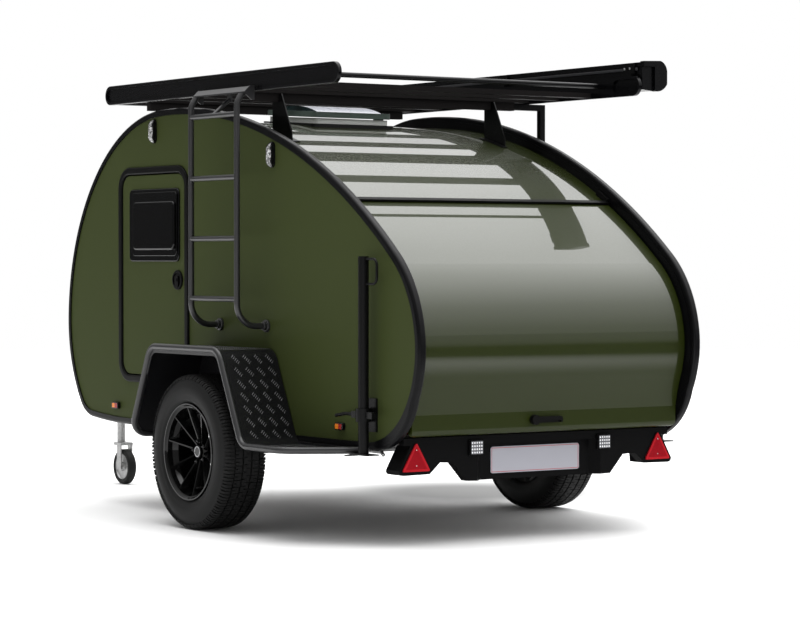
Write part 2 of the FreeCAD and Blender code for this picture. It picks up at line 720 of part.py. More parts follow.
def fender_rod(radius):
    start_y = TRIM_Y - 12
    tube = rod([
        (FENDER_FRONT_XS[1], start_y, FENDER_LOW_Z), (FENDER_FRONT_XS[1], FENDER_TUBE_Y, FENDER_LOW_Z),
        (FENDER_FRONT_XS[0], FENDER_TUBE_Y, FENDER_TOP_Z), (FENDER_REAR_XS[0], FENDER_TUBE_Y, FENDER_TOP_Z),
        (FENDER_REAR_XS[1], FENDER_TUBE_Y, FENDER_LOW_Z), (FENDER_TAIL_X, FENDER_TUBE_Y, FENDER_LOW_Z),
        (FENDER_END_X, start_y, FENDER_LOW_Z),
    ], [88, 80, 80, 80, 110], radius)
    return tube.cut(box((-2000, 2000), (0, TRIM_Y + FIT), (0, 2000)))


def fender_tube():
    """Round edge bar with a narrow plate under its top run."""
    valance = bent_plate([
        (FENDER_FRONT_XS[0] + 60, FENDER_TOP_Z - 129), (FENDER_FRONT_XS[0], FENDER_TOP_Z),
        (FENDER_REAR_XS[0], FENDER_TOP_Z), (FENDER_REAR_XS[0] - 48, FENDER_TOP_Z - 98),
    ], (80, 80), around(FENDER_TUBE_Y, 2), FENDER_TUBE_R + 13)
    return fuse([fender_rod(FENDER_TUBE_R), valance])


# ---------------------------------------------------------------- rear end
def bumper():
    """Moulded lamp carrier: a sunk middle for the plate, two lamp teeth and two reflector lobes."""
    low_line = [
        # y, z from the middle outwards
        (0, 289), (345, 289), (408, 291), (484, 376), (556, 380), (612, 330), (752, 328), (767, 331),
        (775, 340), (775, 350), (730, 431), (711, 466), (0, 466),
    ]
    half = prism([(BUMPER_X, y, z) for y, z in low_line], (BUMPER_T, 0, 0))
    lip = box((BUMPER_X, FLOOR_REAR_X - 1), (0, SHELL_Y - 6), (460, BUMPER_TOP_Z))
    lobe_line = [(y, z) for y, z in low_line if y > 600 and z < 460] + [(716, 458), (600, 458)]
    lobe = prism([(BUMPER_X, y, z) for y, z in lobe_line], (LOBE_LENGTH, 0, 0))
    inside = box((BUMPER_X + 12, BUMPER_X + LOBE_LENGTH + 1), (612, 706), (342, 446))
    lobe = lobe.cut(inside)
    side = fuse([half.cut(inside), lip, lobe]).cut(trim_slab(1, SHELL_Y - 5, TRIM_Y + 10))
    body = fuse([side, mirror_y(side)])
    back, front = BUMPER_X - 1, PLATE_X + 4
    recess = prism([(back, -352, 280), (front, -312, 280), (front, 312, 280), (back, 352, 280)], (0, 0, 175))
    hollow = box((PLATE_X + 12, PLATE_X + 100), (-560, 560), (280, 458))
    pad = rear_slab(around(LAMP_Y, 40), around(LAMP_Z, 37), 10, BUMPER_X - 8, BUMPER_X + 2)
    return fuse([body.cut(recess).cut(hollow), pad, mirror_y(pad)])


def number_plate():
    return rear_slab((-252, 252), (316, 436), 12, PLATE_X, PLATE_X + 4 - FIT)


def rear_reflectors():
    face = BUMPER_X - FIT
    red = prism([
        (face, REFLECTOR_Y - 75, 345), (face, REFLECTOR_Y + 75, 345), (face, REFLECTOR_Y, 475),
    ], (-8, 0, 0))
    uprights = [e for e in red.Edges if e.BoundBox.XLength > 7]
    return both_sides(red.makeFillet(6, uprights))


def reversing_lamps():
    face = BUMPER_X - 8 - FIT
    return both_sides(rear_slab(around(LAMP_Y, 34), around(LAMP_Z, 31), 7, face - 8, face))


# ---------------------------------------------------------------- lamps on the side walls
def side_marker_lamps():
    low, high = SIDE_Y + FIT, SIDE_Y + 18
    lamps = [round_face_y(rounded_slab(x, MARKER_Z, 8, low, high), high, 4) for x in MARKER_XS]
    return Part.makeCompound(lamps + [mirror_y(lamp) for lamp in lamps])


def oval_lamps():
    """Upright oval bases, each with a lens that bulges both ways."""
    low, middle = SIDE_Y + FIT, SIDE_Y + OVAL_BASE_T
    top = middle + OVAL_DOME_T
    solids = []
    for x, z in OVAL_LAMPS:
        lens_x, lens_z = around(x, OVAL_HALF_W - 2), around(z, OVAL_HALF_H - 2)
        base = rounded_slab(around(x, OVAL_HALF_W), around(z, OVAL_HALF_H), OVAL_HALF_W - 0.1, low, middle)
        lens = rounded_slab(lens_x, lens_z, OVAL_HALF_W - 2.1, middle - 1, top)
        tall = bulge_radius(OVAL_HALF_H - 2, OVAL_DOME_T)
        wide = bulge_radius(OVAL_HALF_W - 2, OVAL_DOME_T / 2)
        lens = lens.common(cylinder(tall, (x - 50, top - tall, z), (x + 50, top - tall, z)))
        lens = lens.common(cylinder(wide, (x, top - wide, z - 100), (x, top - wide, z + 100)))
        lamp = fuse([base, lens])
        solids += [lamp, mirror_y(lamp)]
    return Part.makeCompound(solids)


def bulge_radius(half, rise):
    """Radius of an arc that rises so much over half its chord."""
    return (half * half + rise * rise) / (2 * rise)


# ---------------------------------------------------------------- roof rack
def rack_rail():
    """Long plate with rounded ends, sunk on both faces inside a raised lip."""
    radius = (RACK_Z[1] - RACK_Z[0]) / 2 - 0.05
    inner_y = RACK_Y - RACK_RAIL_T
    plate = rounded_slab(RACK_X, RACK_Z, radius, inner_y, RACK_Y)
    plate = round_face_y(plate, RACK_Y, 4)
    lip_x, lip_z, lip_r = grown(RACK_X, -RACK_LIP), grown(RACK_Z, -RACK_LIP), radius - RACK_LIP
    sunk = rounded_slab(lip_x, lip_z, lip_r, RACK_Y - 10, RACK_Y + 1)
    plate = plate.cut(sunk)
    for x in ((lip_x[0], lip_x[0] + 190), (lip_x[1] - 190, lip_x[1])):
        plate = plate.cut(rounded_slab(x, lip_z, lip_r, inner_y - 1, inner_y + 9))
    return plate


def rack_sides():
    rail = rack_rail()
    inner_y = RACK_Y - RACK_RAIL_T
    reach = inner_y + 5
    tubes = [cylinder(RACK_TUBE_R, (x, -reach, RACK_TUBE_Z), (x, reach, RACK_TUBE_Z)) for x in RACK_TUBE_XS]
    return fuse([rail, mirror_y(rail)] + tubes)


def rack_slats():
    """Hollow boards across the rack, with a groove along the top."""
    inner_y = RACK_Y - RACK_RAIL_T
    z = (CROSSBAR_Z[1], SLAT_TOP_Z)
    solids = []
    for i in range(SLAT_COUNT):
        x = SLAT_FIRST_X + i * SLAT_PITCH
        slat = box(around(x, SLAT_W / 2), (-inner_y, inner_y), z)
        groove = box(around(x, 4), (-inner_y - 1, inner_y + 1), (z[1] - 6, z[1] + 1))
        solids.append(slat.cut(groove))
    return Part.makeCompound(solids)


def rack_crossbars():
    return Part.makeCompound([
        box(around(x, CROSSBAR_W / 2), (-CROSSBAR_END_Y, CROSSBAR_END_Y), CROSSBAR_Z) for x in CROSSBAR_XS
    ])


def rack_feet():
    """Fins beside the rear crossbar, posts under the front one, all on flanges."""
    roof = roof_solid()
    rear_bar = box(around(CROSSBAR_XS[0], CROSSBAR_W / 2 + FIT), (-1000, 1000), grown(CROSSBAR_Z, FIT))
    fin = prism([
        (-12, FIN_Y - FIN_T / 2, 2084), (-94, FIN_Y - FIN_T / 2, 2084), (-188, FIN_Y - FIN_T / 2, 1895),
        (-188, FIN_Y - FIN_T / 2, 1800), (-12, FIN_Y - FIN_T / 2, 1800),
    ], (0, FIN_T, 0))
    fin = fuse([fin.cut(roof), roof_pad((-205, -12), (FIN_Y - 34, FIN_Y + FIN_T / 2), 5)]).cut(rear_bar)
    post = box(around(CROSSBAR_XS[1], 20), around(FIN_Y, 20), (1900, CROSSBAR_Z[0] - FIT)).cut(roof)
    post = fuse([post, roof_pad(around(CROSSBAR_XS[1], 55), around(FIN_Y, 32), 5)])
    return Part.makeCompound([fin, mirror_y(fin), post, mirror_y(post)])


# ---------------------------------------------------------------- ladder
def ladder_rail(x, radius):
    return rod([
        (x, SIDE_Y + 8, LADDER_LOW_Z), (x, LADDER_Y, LADDER_LOW_Z),
        (x, LADDER_Y, 2022), (x, LADDER_Y - 32, 2074),
    ], [105, 70], radius)


def ladder_rungs():
    """Four rungs that fit between the rails."""
    rails = Part.makeCompound([ladder_rail(x, LADDER_TUBE_R + FIT) for x in LADDER_XS])
    rungs = [cylinder(RUNG_R, (LADDER_XS[0], LADDER_Y, z), (LADDER_XS[1], LADDER_Y, z)) for z in RUNG_ZS]
    brace = ladder_brace(10 + FIT)
    return Part.makeCompound([largest(rung.cut(rails).cut(brace)) for rung in rungs])


def ladder_brace(radius):
    """Straight stay from the top rung inwards to the rack."""
    middle = sum(LADDER_XS) / 2
    return cylinder(radius, (middle, LADDER_Y, RUNG_ZS[-1] + 4), (middle, RACK_Y - 6, RACK_Z[0] - 30))


def ladder():
    """Two bent rails on wall pads, with a narrow tilted step at the top and its stay."""
    pieces = []
    for x in LADDER_XS:
        pieces.append(ladder_rail(x, LADDER_TUBE_R))
        pad = cylinder(30, (x, SIDE_Y + FIT, LADDER_LOW_Z), (x, SIDE_Y + 13, LADDER_LOW_Z))
        pieces.append(round_face_y(pad, SIDE_Y + 13, 4))
        collar = cylinder(21, (x, SIDE_Y + 12, LADDER_LOW_Z), (x, SIDE_Y + 27, LADDER_LOW_Z))
        pieces.append(round_face_y(collar, SIDE_Y + 27, 3))
    pieces.append(ladder_brace(10))
    middle = sum(LADDER_XS) / 2
    pieces.append(box(around(middle, 16), (RACK_Y - 12, RACK_Y - 4), (RACK_Z[0] - 42, RACK_Z[0] - FIT)))
    x0, x1 = LADDER_XS[0] - 26, LADDER_XS[1] + 25
    wall_y, top_z = RACK_Y + FIT, 2101
    skin = [(wall_y, top_z), (905, top_z), (930, 2076), (930, 2069)]
    above = [(1000, 2069), (1000, 2160), (wall_y, 2160)]
    body = fuse(pieces).cut(prism([(x0, y, z) for y, z in skin + above], (x1 - x0, 0, 0)))
    inner = [(926, 2069), (926, 2074), (903, 2097), (wall_y, 2097)]
    step = prism([(x0, y, z) for y, z in skin + inner], (x1 - x0, 0, 0))
    gusset = [(wall_y, 2108), (wall_y, 2038), (892, 2038), (927, 2066), (927, 2076), (901, 2104)]
    ends = [prism([(x, y, z) for y, z in gusset], (6, 0, 0)) for x in (x0, x1 - 6)]
    return fuse([body, step] + ends)


# ---------------------------------------------------------------- awning on the right side
def awning_face(x, grow=0.0):
    """Cross-section: flat towards the rack, rounded outwards."""
    (y0, y1), (z0, z1) = grown(AWNING_Y, grow), grown(AWNING_Z, grow)
    a, b = V(x, y1, z0 + 8), V(x, y1, z1 - 4)
    c, d = V(x, y0 + 42, z1), V(x, y0, z1 - 62)
    e, f = V(x, y0, z0 + 38), V(x, y0 + 62, z0)
    upper = V(x, y0 + 12, z1 - 20)
    lower = V(x, y0 + 21, z0 + 14)
    return Part.Face(Part.Wire([
        Part.LineSegment(a, b).toShape(), Part.LineSegment(b, c).toShape(), Part.Arc(c, upper, d).toShape(),
        Part.LineSegment(d, e).toShape(), Part.Arc(e, lower, f).toShape(), Part.LineSegment(f, a).toShape(),
    ]))


def awning_cassette():
    """Ribbed case with stepped end caps."""
    cap = 30.0
    case = awning_face(AWNING_X[0] + cap, -4).extrude(V(AWNING_X[1] - AWNING_X[0] - 2 * cap, 0, 0))
    for z, depth in ((2132, 5), (2168, 7), (2214, 5)):
        case = case.cut(box(AWNING_X, (AWNING_Y[1] - 4 - depth, AWNING_Y[1]), (z, z + 12)))
    caps = []
    for start, sign in ((AWNING_X[0], 1), (AWNING_X[1], -1)):
        end = awning_face(start).extrude(V(sign * cap, 0, 0))
        inner_y = (AWNING_Y[1] - 68, AWNING_Y[1] + 1)
        low = box((start, start + sign * 14), inner_y, (AWNING_Z[0] - 1, AWNING_Z[1] - 30))
        caps.append(end.cut(low))
    return fuse([case] + caps)


def awning_brackets():
    """Plates between the rack and the awning, and the post that props its middle."""
    rail_y = -RACK_Y - FIT
    plates = []
    for x in (-850, 200, 1150):
        low = box(around(x, 44), (rail_y - 6, rail_y), (2110, 2192))
        shelf = box(around(x, 44), (AWNING_Y[1] + 4 + FIT, rail_y), (2186, 2192))
        high = box(around(x, 44), (AWNING_Y[1] + FIT, AWNING_Y[1] + 6), (2150, 2240))
        plates.append(fuse([low, shelf, high]))
    x = around(POST_X, POST_W / 2)
    y = around(POST_Y, POST_W / 2)
    arm = box(x, (y[0], -CROSSBAR_END_Y - FIT), (CROSSBAR_Z[0] + 4, RACK_Z[0] - FIT))
    leg = box(x, y, (1700, CROSSBAR_Z[0] + 5))
    foot = box(x, (y[0], -SIDE_Y - FIT), (1700, 1730))
    plate = box(around(POST_X, 40), (-SIDE_Y - 8, -SIDE_Y - FIT), (1670, 1760))
    return Part.makeCompound(plates + [fuse([arm, leg, foot, plate])])


# ---------------------------------------------------------------- prop stands
def prop_stand():
    """Leg with a shoe at the bottom and a looped grip at the top."""
    tube = cylinder(STAND_R, (STAND_X, STAND_Y, STAND_Z[0] - 1), (STAND_X, STAND_Y, STAND_Z[1]))
    top = STAND_Z[1]
    tube = tube.cut(cylinder(STAND_R - 4, (STAND_X, STAND_Y, top - 60), (STAND_X, STAND_Y, top + 1)))
    y = around(STAND_Y, 35)
    shoe = box((STAND_X - 73, STAND_X + 40), y, (STAND_Z[0] - 6, STAND_Z[0]))
    toe = bar(70, 6, (STAND_X + 39, STAND_Y, STAND_Z[0] - 3), (STAND_X + 105, STAND_Y, STAND_Z[0] - 14))
    near, far = STAND_X - 18, STAND_X - 108
    corners = ((near, 1288), (far, 1288), (far, 1177), (near, 1177))
    grip = rod([(x, STAND_Y, z) for x, z in corners], 30, 6)
    return fuse([tube, shoe, toe, grip])


def prop_clamps():
    """Wall brackets that hold the legs, with a T lever."""
    plate = box((STAND_X - 34, STAND_X + 40), (SIDE_Y + FIT, SIDE_Y + 8), (516, 666))
    collar = cylinder(STAND_R + 12, (STAND_X, STAND_Y, 563), (STAND_X, STAND_Y, 622))
    web = box((STAND_X - 22, STAND_X + 30), (SIDE_Y + 7, STAND_Y), (563, 622))
    ears = box((STAND_X - 84, STAND_X + 84), around(STAND_Y, 12), (578, 608))
    bore = cylinder(STAND_R + 0.4, (STAND_X, STAND_Y, 500), (STAND_X, STAND_Y, 700))
    lever = rod([(STAND_X + dx, STAND_Y, z) for dx, z in ((80, 593), (150, 593), (227, 581))], 30, 8)
    return both_sides(fuse([plate, collar, web, ears, lever]).cut(bore))


# ---------------------------------------------------------------- jockey wheel
def jockey_tube():
    """Outer tube in its clamp, with the crank on top."""
    clamp = box(around(JOCKEY_X, 30), (DRAWBAR_NOSE_Y + FIT, JOCKEY_Y + 42), (390, 424))
    outer = cylinder(JOCKEY_TUBE_R + 6, (JOCKEY_X, JOCKEY_Y, 375), (JOCKEY_X, JOCKEY_Y, 700))
    bore = cylinder(JOCKEY_TUBE_R + 0.5, (JOCKEY_X, JOCKEY_Y, 320), (JOCKEY_X, JOCKEY_Y, 690))
    stem = cylinder(8, (JOCKEY_X, JOCKEY_Y, 699), (JOCKEY_X, JOCKEY_Y, 730))
    arm = JOCKEY_X - 110
    crank = rod([(JOCKEY_X, JOCKEY_Y, 722), (arm, JOCKEY_Y, 722), (arm, JOCKEY_Y, 790)], 15, 7)
    return fuse([clamp, outer, stem, crank]).cut(bore)


def jockey_inner_tube():
    return cylinder(JOCKEY_TUBE_R, (JOCKEY_X, JOCKEY_Y, 239), (JOCKEY_X, JOCKEY_Y, 500))


def jockey_fork():
    crown = box((JOCKEY_WHEEL_X - 28, JOCKEY_X + 24), around(JOCKEY_Y, 38), (222, 237.8))
    cheeks = [
        box(around(JOCKEY_WHEEL_X, 24), (JOCKEY_Y + s * 32, JOCKEY_Y + s * 38), (85, 223)) for s in (1, -1)
    ]
    pin = cylinder(7, *[(JOCKEY_WHEEL_X, y, JOCKEY_WHEEL_R) for y in around(JOCKEY_Y, 38)])
    return fuse([crown] + cheeks + [pin])


def jockey_rim():
    return revolve_y([
        (-26, 7.3), (-26, 20), (-12, 26), (-12, 66), (-20, 72),
        (20, 72), (12, 66), (12, 26), (26, 20), (26, 7.3),
    ], (JOCKEY_WHEEL_X, JOCKEY_Y, JOCKEY_WHEEL_R))


def jockey_tyre():
    return revolve_y([
        (-20, 72.2), (-25, 80), (-25, 92), (-17, 100), (17, 100), (25, 92), (25, 80), (20, 72.2),
    ], (JOCKEY_WHEEL_X, JOCKEY_Y, JOCKEY_WHEEL_R))


# ---------------------------------------------------------------- export
SINGLE = {
    "roof_panel": roof_panel, "front_panel": front_panel, "floor_panel": floor_panel,
    "hatch": hatch, "hatch_hinge": hatch_hinge, "hatch_handle": hatch_handle,
    "bulkhead": bulkhead, "galley_unit": galley_unit, "door_frames": door_frames,
    "skylight_frame": skylight_frame, "skylight_lid": skylight_lid,
    "chassis_frame": chassis_frame, "drawbar": drawbar, "coupling": coupling, "axle": axle,
    "bumper": bumper, "number_plate": number_plate, "rear_reflectors": rear_reflectors,
    "reversing_lamps": reversing_lamps, "side_marker_lamps": side_marker_lamps, "oval_lamps": oval_lamps,
    "rack_sides": rack_sides, "rack_slats": rack_slats, "rack_crossbars": rack_crossbars,
    "rack_feet": rack_feet, "ladder": ladder, "ladder_rungs": ladder_rungs,
    "awning_cassette": awning_cassette, "awning_brackets": awning_brackets, "prop_clamps": prop_clamps,
    "jockey_tube": jockey_tube, "jockey_inner_tube": jockey_inner_tube,
    "jockey_fork": jockey_fork, "jockey_rim": jockey_rim, "jockey_tyre": jockey_tyre,
}
PAIRED = {
    "side_panel": side_panel, "body_trim": body_trim, "door": door, "door_window": door_window,
    "door_lock": door_lock, "tyre": tyre, "rim": rim, "hub": hub, "fender": fender,
    "fender_tube": fender_tube, "prop_stand": prop_stand,
}
for node, make in SINGLE.items():
    save(node, make())
for node, make in PAIRED.items():
    left = make()
    for side, sign in SIDES:
        save("%s_%s" % (node, side), sided(left, sign))
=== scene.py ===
# %% [markdown]
# # A teardrop trailer, finished for show
# The construction of the trailer is already there: every panel, tube and wheel comes from the
# CAD model as its own object, in metres, with +X towards the coupling and +Z up. This lesson
# adds what a drawing office leaves out, such as tyre tread, tread plate, bolts and lamp lenses,
# and gives each surface a finish. The CAD objects are never moved or reshaped.

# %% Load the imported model
import json
import math
import bmesh
import bpy
from mathutils import Matrix, Vector


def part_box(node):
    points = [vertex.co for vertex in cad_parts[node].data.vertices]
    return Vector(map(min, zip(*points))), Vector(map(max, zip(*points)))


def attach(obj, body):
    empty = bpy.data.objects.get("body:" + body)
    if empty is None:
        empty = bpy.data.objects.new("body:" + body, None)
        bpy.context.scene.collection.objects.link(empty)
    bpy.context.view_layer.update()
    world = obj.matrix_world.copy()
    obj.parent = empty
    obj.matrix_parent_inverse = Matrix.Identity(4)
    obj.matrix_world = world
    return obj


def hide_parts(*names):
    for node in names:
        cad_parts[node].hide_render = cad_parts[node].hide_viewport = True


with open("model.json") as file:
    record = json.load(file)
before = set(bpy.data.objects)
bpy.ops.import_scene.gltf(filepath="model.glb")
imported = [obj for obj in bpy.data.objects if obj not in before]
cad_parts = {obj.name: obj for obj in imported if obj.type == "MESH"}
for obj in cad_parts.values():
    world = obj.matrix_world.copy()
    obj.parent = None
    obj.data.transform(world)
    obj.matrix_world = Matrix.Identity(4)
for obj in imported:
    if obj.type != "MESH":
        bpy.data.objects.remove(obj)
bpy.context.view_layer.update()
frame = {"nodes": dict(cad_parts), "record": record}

nodes = frame["nodes"]
record = frame["record"]
wheel_low, wheel_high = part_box("tyre_left")
AXLE_X = (wheel_low.x + wheel_high.x) / 2
AXLE_Z = (wheel_low.z + wheel_high.z) / 2
SIDES = (("left", 1), ("right", -1))

# %% [markdown]
# ## Small tools
# An operator works on whatever is selected, so each step first deselects everything and then
# selects one piece. Faces and edges are picked in code by where they are, which does by rule
# what a mouse does by eye. A finished piece keeps its place in its mesh: its object goes back
# to the origin, unturned and unscaled, so patterns on object coordinates stay put.

# %% Selecting and editing
def deselect_all():
    if bpy.context.object and bpy.context.object.mode != "OBJECT":
        bpy.ops.object.mode_set(mode="OBJECT")
    bpy.ops.object.select_all(action="DESELECT")


def make_active(piece):
    deselect_all()
    piece.select_set(True)
    bpy.context.view_layer.objects.active = piece


def start_editing(piece, element="FACE"):
    make_active(piece)
    bpy.ops.object.mode_set(mode="EDIT")
    bpy.ops.mesh.select_mode(type=element)
    bpy.ops.mesh.select_all(action="DESELECT")


def pick_faces(piece, wanted):
    """Selects, in edit mode, the faces for which wanted(middle, normal) is true."""
    bpy.ops.mesh.select_all(action="DESELECT")
    mesh = bmesh.from_edit_mesh(piece.data)
    for face in mesh.faces:
        face.select_set(bool(wanted(face.calc_center_median(), face.normal)))
    bmesh.update_edit_mesh(piece.data)


# %% Primitives at their size and place
def cube(name, low, high):
    deselect_all()
    low, high = Vector(low), Vector(high)
    bpy.ops.mesh.primitive_cube_add(size=1, location=(low + high) / 2)
    piece = bpy.context.object
    piece.name = name
    piece.scale = high - low
    bpy.ops.object.transform_apply(location=True, rotation=True, scale=True)
    return piece


def cylinder(name, radius, start, end, sides=32):
    """A closed cylinder between two points."""
    deselect_all()
    start, end = Vector(start), Vector(end)
    bpy.ops.mesh.primitive_cylinder_add(
        vertices=sides, radius=radius, depth=(end - start).length, location=(start + end) / 2)
    piece = bpy.context.object
    piece.name = name
    piece.rotation_euler = (end - start).to_track_quat("Z", "Y").to_euler()
    bpy.ops.object.transform_apply(location=True, rotation=True, scale=True)
    return piece


# %% Modifiers, copies and joining
def apply_modifier(piece, kind, **settings):
    make_active(piece)
    modifier = piece.modifiers.new(kind.title(), kind)
    for key, value in settings.items():
        setattr(modifier, key, value)
    bpy.ops.object.modifier_apply(modifier=modifier.name)


def soften(piece, width, segments=2, angle=40):
    """Rounds the sharp edges of a piece."""
    apply_modifier(piece, "BEVEL", width=width, segments=segments, limit_method="ANGLE",
                   angle_limit=math.radians(angle), harden_normals=False)


def join(name, pieces):
    deselect_all()
    for piece in pieces:
        piece.select_set(True)
    bpy.context.view_layer.objects.active = pieces[0]
    if len(pieces) > 1:
        bpy.ops.object.join()
    pieces[0].name = name
    pieces[0].data.name = name
    return pieces[0]


def copies(name, model, places):
    """Puts a copy of the model at each place matrix, joins them, and removes the model."""
    made = []
    for place in places:
        copy = model.copy()
        copy.data = model.data.copy()
        copy.data.transform(place)
        if place.determinant() < 0:
            copy.data.flip_normals()
        bpy.context.scene.collection.objects.link(copy)
        made.append(copy)
    bpy.data.objects.remove(model)
    return join(name, made)


def mirrored(name, piece):
    """A copy for the other side of the trailer."""
    twin = piece.copy()
    twin.data = piece.data.copy()
    twin.name = name
    twin.data.transform(Matrix.Diagonal((1, -1, 1, 1)))
    twin.data.flip_normals()
    bpy.context.scene.collection.objects.link(twin)
    return twin


def facing(place, direction, turn=0.0):
    """Matrix that stands a model made along +Z at a place, pointing in a direction."""
    lean = Vector(direction).to_track_quat("Z", "Y").to_matrix().to_4x4()
    return Matrix.Translation(Vector(place)) @ lean @ Matrix.Rotation(turn, 4, "Z")


def finish_piece(piece, body, material, angle=35):
    """Smooth shading, finish, and the body that carries the piece."""
    make_active(piece)
    bpy.ops.object.shade_smooth_by_angle(angle=math.radians(angle))
    piece.data.materials.clear()
    piece.data.materials.append(material)
    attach(piece, body)
    print(piece.name, "on", body, "-", len(piece.data.polygons), "faces")
    return piece

# %% [markdown]
# ## Camera, floor and light
# The trailer is seen from behind and to its left, from eye height and far away, so a long lens
# keeps its lines almost parallel. The light is a plain soft studio: pale all round, with one
# large soft panel high on the far side that the curved hatch and roof mirror as a long fade.
# A world that brightens with height does this without a visible lamp.

# %% Camera
SENSOR_MM = 36.0
LENS_MM = 121.58
CAMERA_PLACE = (-11.8715, 7.4243, 1.2861)
CAMERA_HEADING = -33.947
CAMERA_TILT = -1.286

lens = bpy.data.cameras.new("camera")
lens.sensor_width = SENSOR_MM
lens.lens = LENS_MM
camera = bpy.data.objects.new("camera", lens)
bpy.context.scene.collection.objects.link(camera)
camera.location = CAMERA_PLACE
camera.rotation_euler = (math.radians(90 + CAMERA_TILT), 0, math.radians(CAMERA_HEADING - 90))
bpy.context.scene.camera = camera
print("camera looks along", camera.rotation_euler[:])


# %% Building node trees
def add(tree, kind, *inputs, **settings):
    """Adds a node. Inputs go to sockets in order, and settings to sockets or properties by name.
    An input that is itself an output socket is linked."""
    node = tree.nodes.new("ShaderNode" + kind)
    for key, value in settings.items():
        if key[0].islower():
            setattr(node, key, value)
    pairs = list(enumerate(inputs))
    pairs += [(key.replace("_", " "), value) for key, value in settings.items() if key[0].isupper()]
    for key, value in pairs:
        if isinstance(value, bpy.types.NodeSocket):
            tree.links.new(value, node.inputs[key])
        elif value is not None:
            node.inputs[key].default_value = value
    return node


def math_node(tree, operation, *inputs):
    return add(tree, "Math", *inputs, operation=operation).outputs[0]


def ramp(tree, value, stops):
    """Colour ramp from (place, colour or grey) pairs."""
    node = add(tree, "ValToRGB", value)
    band = node.color_ramp.elements
    while len(band) < len(stops):
        band.new(0.5)
    for element, (place, colour) in zip(band, stops):
        element.position = place
        grey = isinstance(colour, (int, float))
        element.color = (colour, colour, colour, 1) if grey else (*colour, 1)
    return node.outputs["Color"]


# %% World light
# Each ramp pairs a height, 0 straight down, 0.5 the horizon and 1 straight up, with a radiance.
RADIANCE_SCALE = 4.0
NEAR_SIDE = ((0.0, 0.03), (0.5, 0.03), (0.60, 0.05), (0.78, 0.18), (0.92, 0.30), (0.965, 1.0), (1.0, 1.2))
FAR_SIDE = ((0.0, 0.02), (0.490, 0.02), (0.52, 0.14), (0.63, 0.30), (0.72, 0.46), (0.78, 0.56), (0.84, 0.78),
            (0.89, 0.98), (0.92, 1.0), (0.965, 1.0), (1.0, 1.2))
BACKDROP_DIRECTION = (0.83, -0.56, 0.0)
SOFTBOX_DIRECTION = Vector((-0.78, 0.56, 0.26)).normalized()
SOFTBOX_RADIANCE = 0.12


def two_tones(tree, share, first, second):
    """Mixes two colours by a share from 0 to 1."""
    node = add(tree, "Mix", data_type="RGBA")
    for place, value in ((0, share), (6, first), (7, second)):
        if isinstance(value, bpy.types.NodeSocket):
            tree.links.new(value, node.inputs[place])
        else:
            node.inputs[place].default_value = value
    return node.outputs[2]


world = bpy.data.worlds.new("studio")
bpy.context.scene.world = world
world.use_nodes = True
sky = world.node_tree
sky.nodes.clear()
direction = add(sky, "TexCoord").outputs["Generated"]
parts = add(sky, "SeparateXYZ", direction).outputs
height = math_node(sky, "MULTIPLY_ADD", parts["Z"], 0.5, 0.5)
far = add(sky, "MapRange", parts["Y"], 0.15, -0.35, 0.0, 1.0, interpolation_type="SMOOTHSTEP").outputs[0]
studio = two_tones(sky, far, ramp(sky, height, NEAR_SIDE), ramp(sky, height, FAR_SIDE))
ahead = add(sky, "VectorMath", direction, BACKDROP_DIRECTION, operation="DOT_PRODUCT").outputs["Value"]
lit_wall = add(sky, "MapRange", ahead, 0.86, 0.97, 0.0, 1.0, interpolation_type="SMOOTHSTEP").outputs[0]
white = (1 / RADIANCE_SCALE, 1 / RADIANCE_SCALE, 1 / RADIANCE_SCALE, 1)
behind = add(sky, "VectorMath", direction, SOFTBOX_DIRECTION, operation="DOT_PRODUCT").outputs["Value"]
lit_box = add(sky, "MapRange", behind, 0.80, 0.95, 0.0, 1.0, interpolation_type="SMOOTHSTEP").outputs[0]
softbox = (SOFTBOX_RADIANCE, SOFTBOX_RADIANCE, SOFTBOX_RADIANCE, 1)
seen = two_tones(sky, lit_box, two_tones(sky, lit_wall, studio, white), softbox)
light = add(sky, "Background", seen, RADIANCE_SCALE).outputs[0]
sky.links.new(light, add(sky, "OutputWorld").inputs["Surface"])

# %% [markdown]
# ## Floor
# The floor is a wide pale disc. It turns clear far away and towards the rear, so that the hatch
# mirrors a dark room there. The material also paints one soft shadow, a darker patch on the ground
# beyond the right side wall. No object casts that painted shadow: with SHADE_DEPTH at 0 the floor is plain.

# %% Floor
FLOOR_RADIUS = 30.0
FLOOR_TONE = 0.86
SHADE_CENTRE = (0.3, -1.2, 0.0)
SHADE_REACH = (0.3, 1.1)
SHADE_DEPTH = 0.62
REAR_DIRECTION = (-0.83, -0.56, 0.0)
deselect_all()
bpy.ops.mesh.primitive_circle_add(vertices=96, radius=FLOOR_RADIUS, fill_type="NGON", location=(0, 0, 0))
floor = bpy.context.object
floor.name = "floor"
pale = bpy.data.materials.new("pale_floor")
pale.use_nodes = True
tree = pale.node_tree
tree.nodes.clear()
floor_place = add(tree, "TexCoord").outputs["Object"]
away = add(tree, "VectorMath", floor_place, operation="LENGTH").outputs["Value"]
far_end = add(tree, "MapRange", away, 9.0, 26.0, 0.0, 1.0, interpolation_type="SMOOTHSTEP").outputs[0]
rearwards = add(tree, "VectorMath", floor_place, REAR_DIRECTION, operation="DOT_PRODUCT").outputs["Value"]
rear_end = add(tree, "MapRange", rearwards, 4.0, 7.5, 0.0, 1.0, interpolation_type="SMOOTHSTEP").outputs[0]
fade = math_node(tree, "MAXIMUM", far_end, rear_end)
beside = add(tree, "VectorMath", floor_place, SHADE_CENTRE, operation="DISTANCE").outputs["Value"]
# painted shadow: the floor darkens round SHADE_CENTRE, though nothing casts a shadow there
painted_shadow = add(tree, "MapRange", beside, *SHADE_REACH, 1.0, 0.0, interpolation_type="SMOOTHSTEP").outputs[0]
paleness = math_node(tree, "MULTIPLY_ADD", painted_shadow, -SHADE_DEPTH, FLOOR_TONE)
shade = add(tree, "CombineColor", paleness, paleness, paleness).outputs[0]
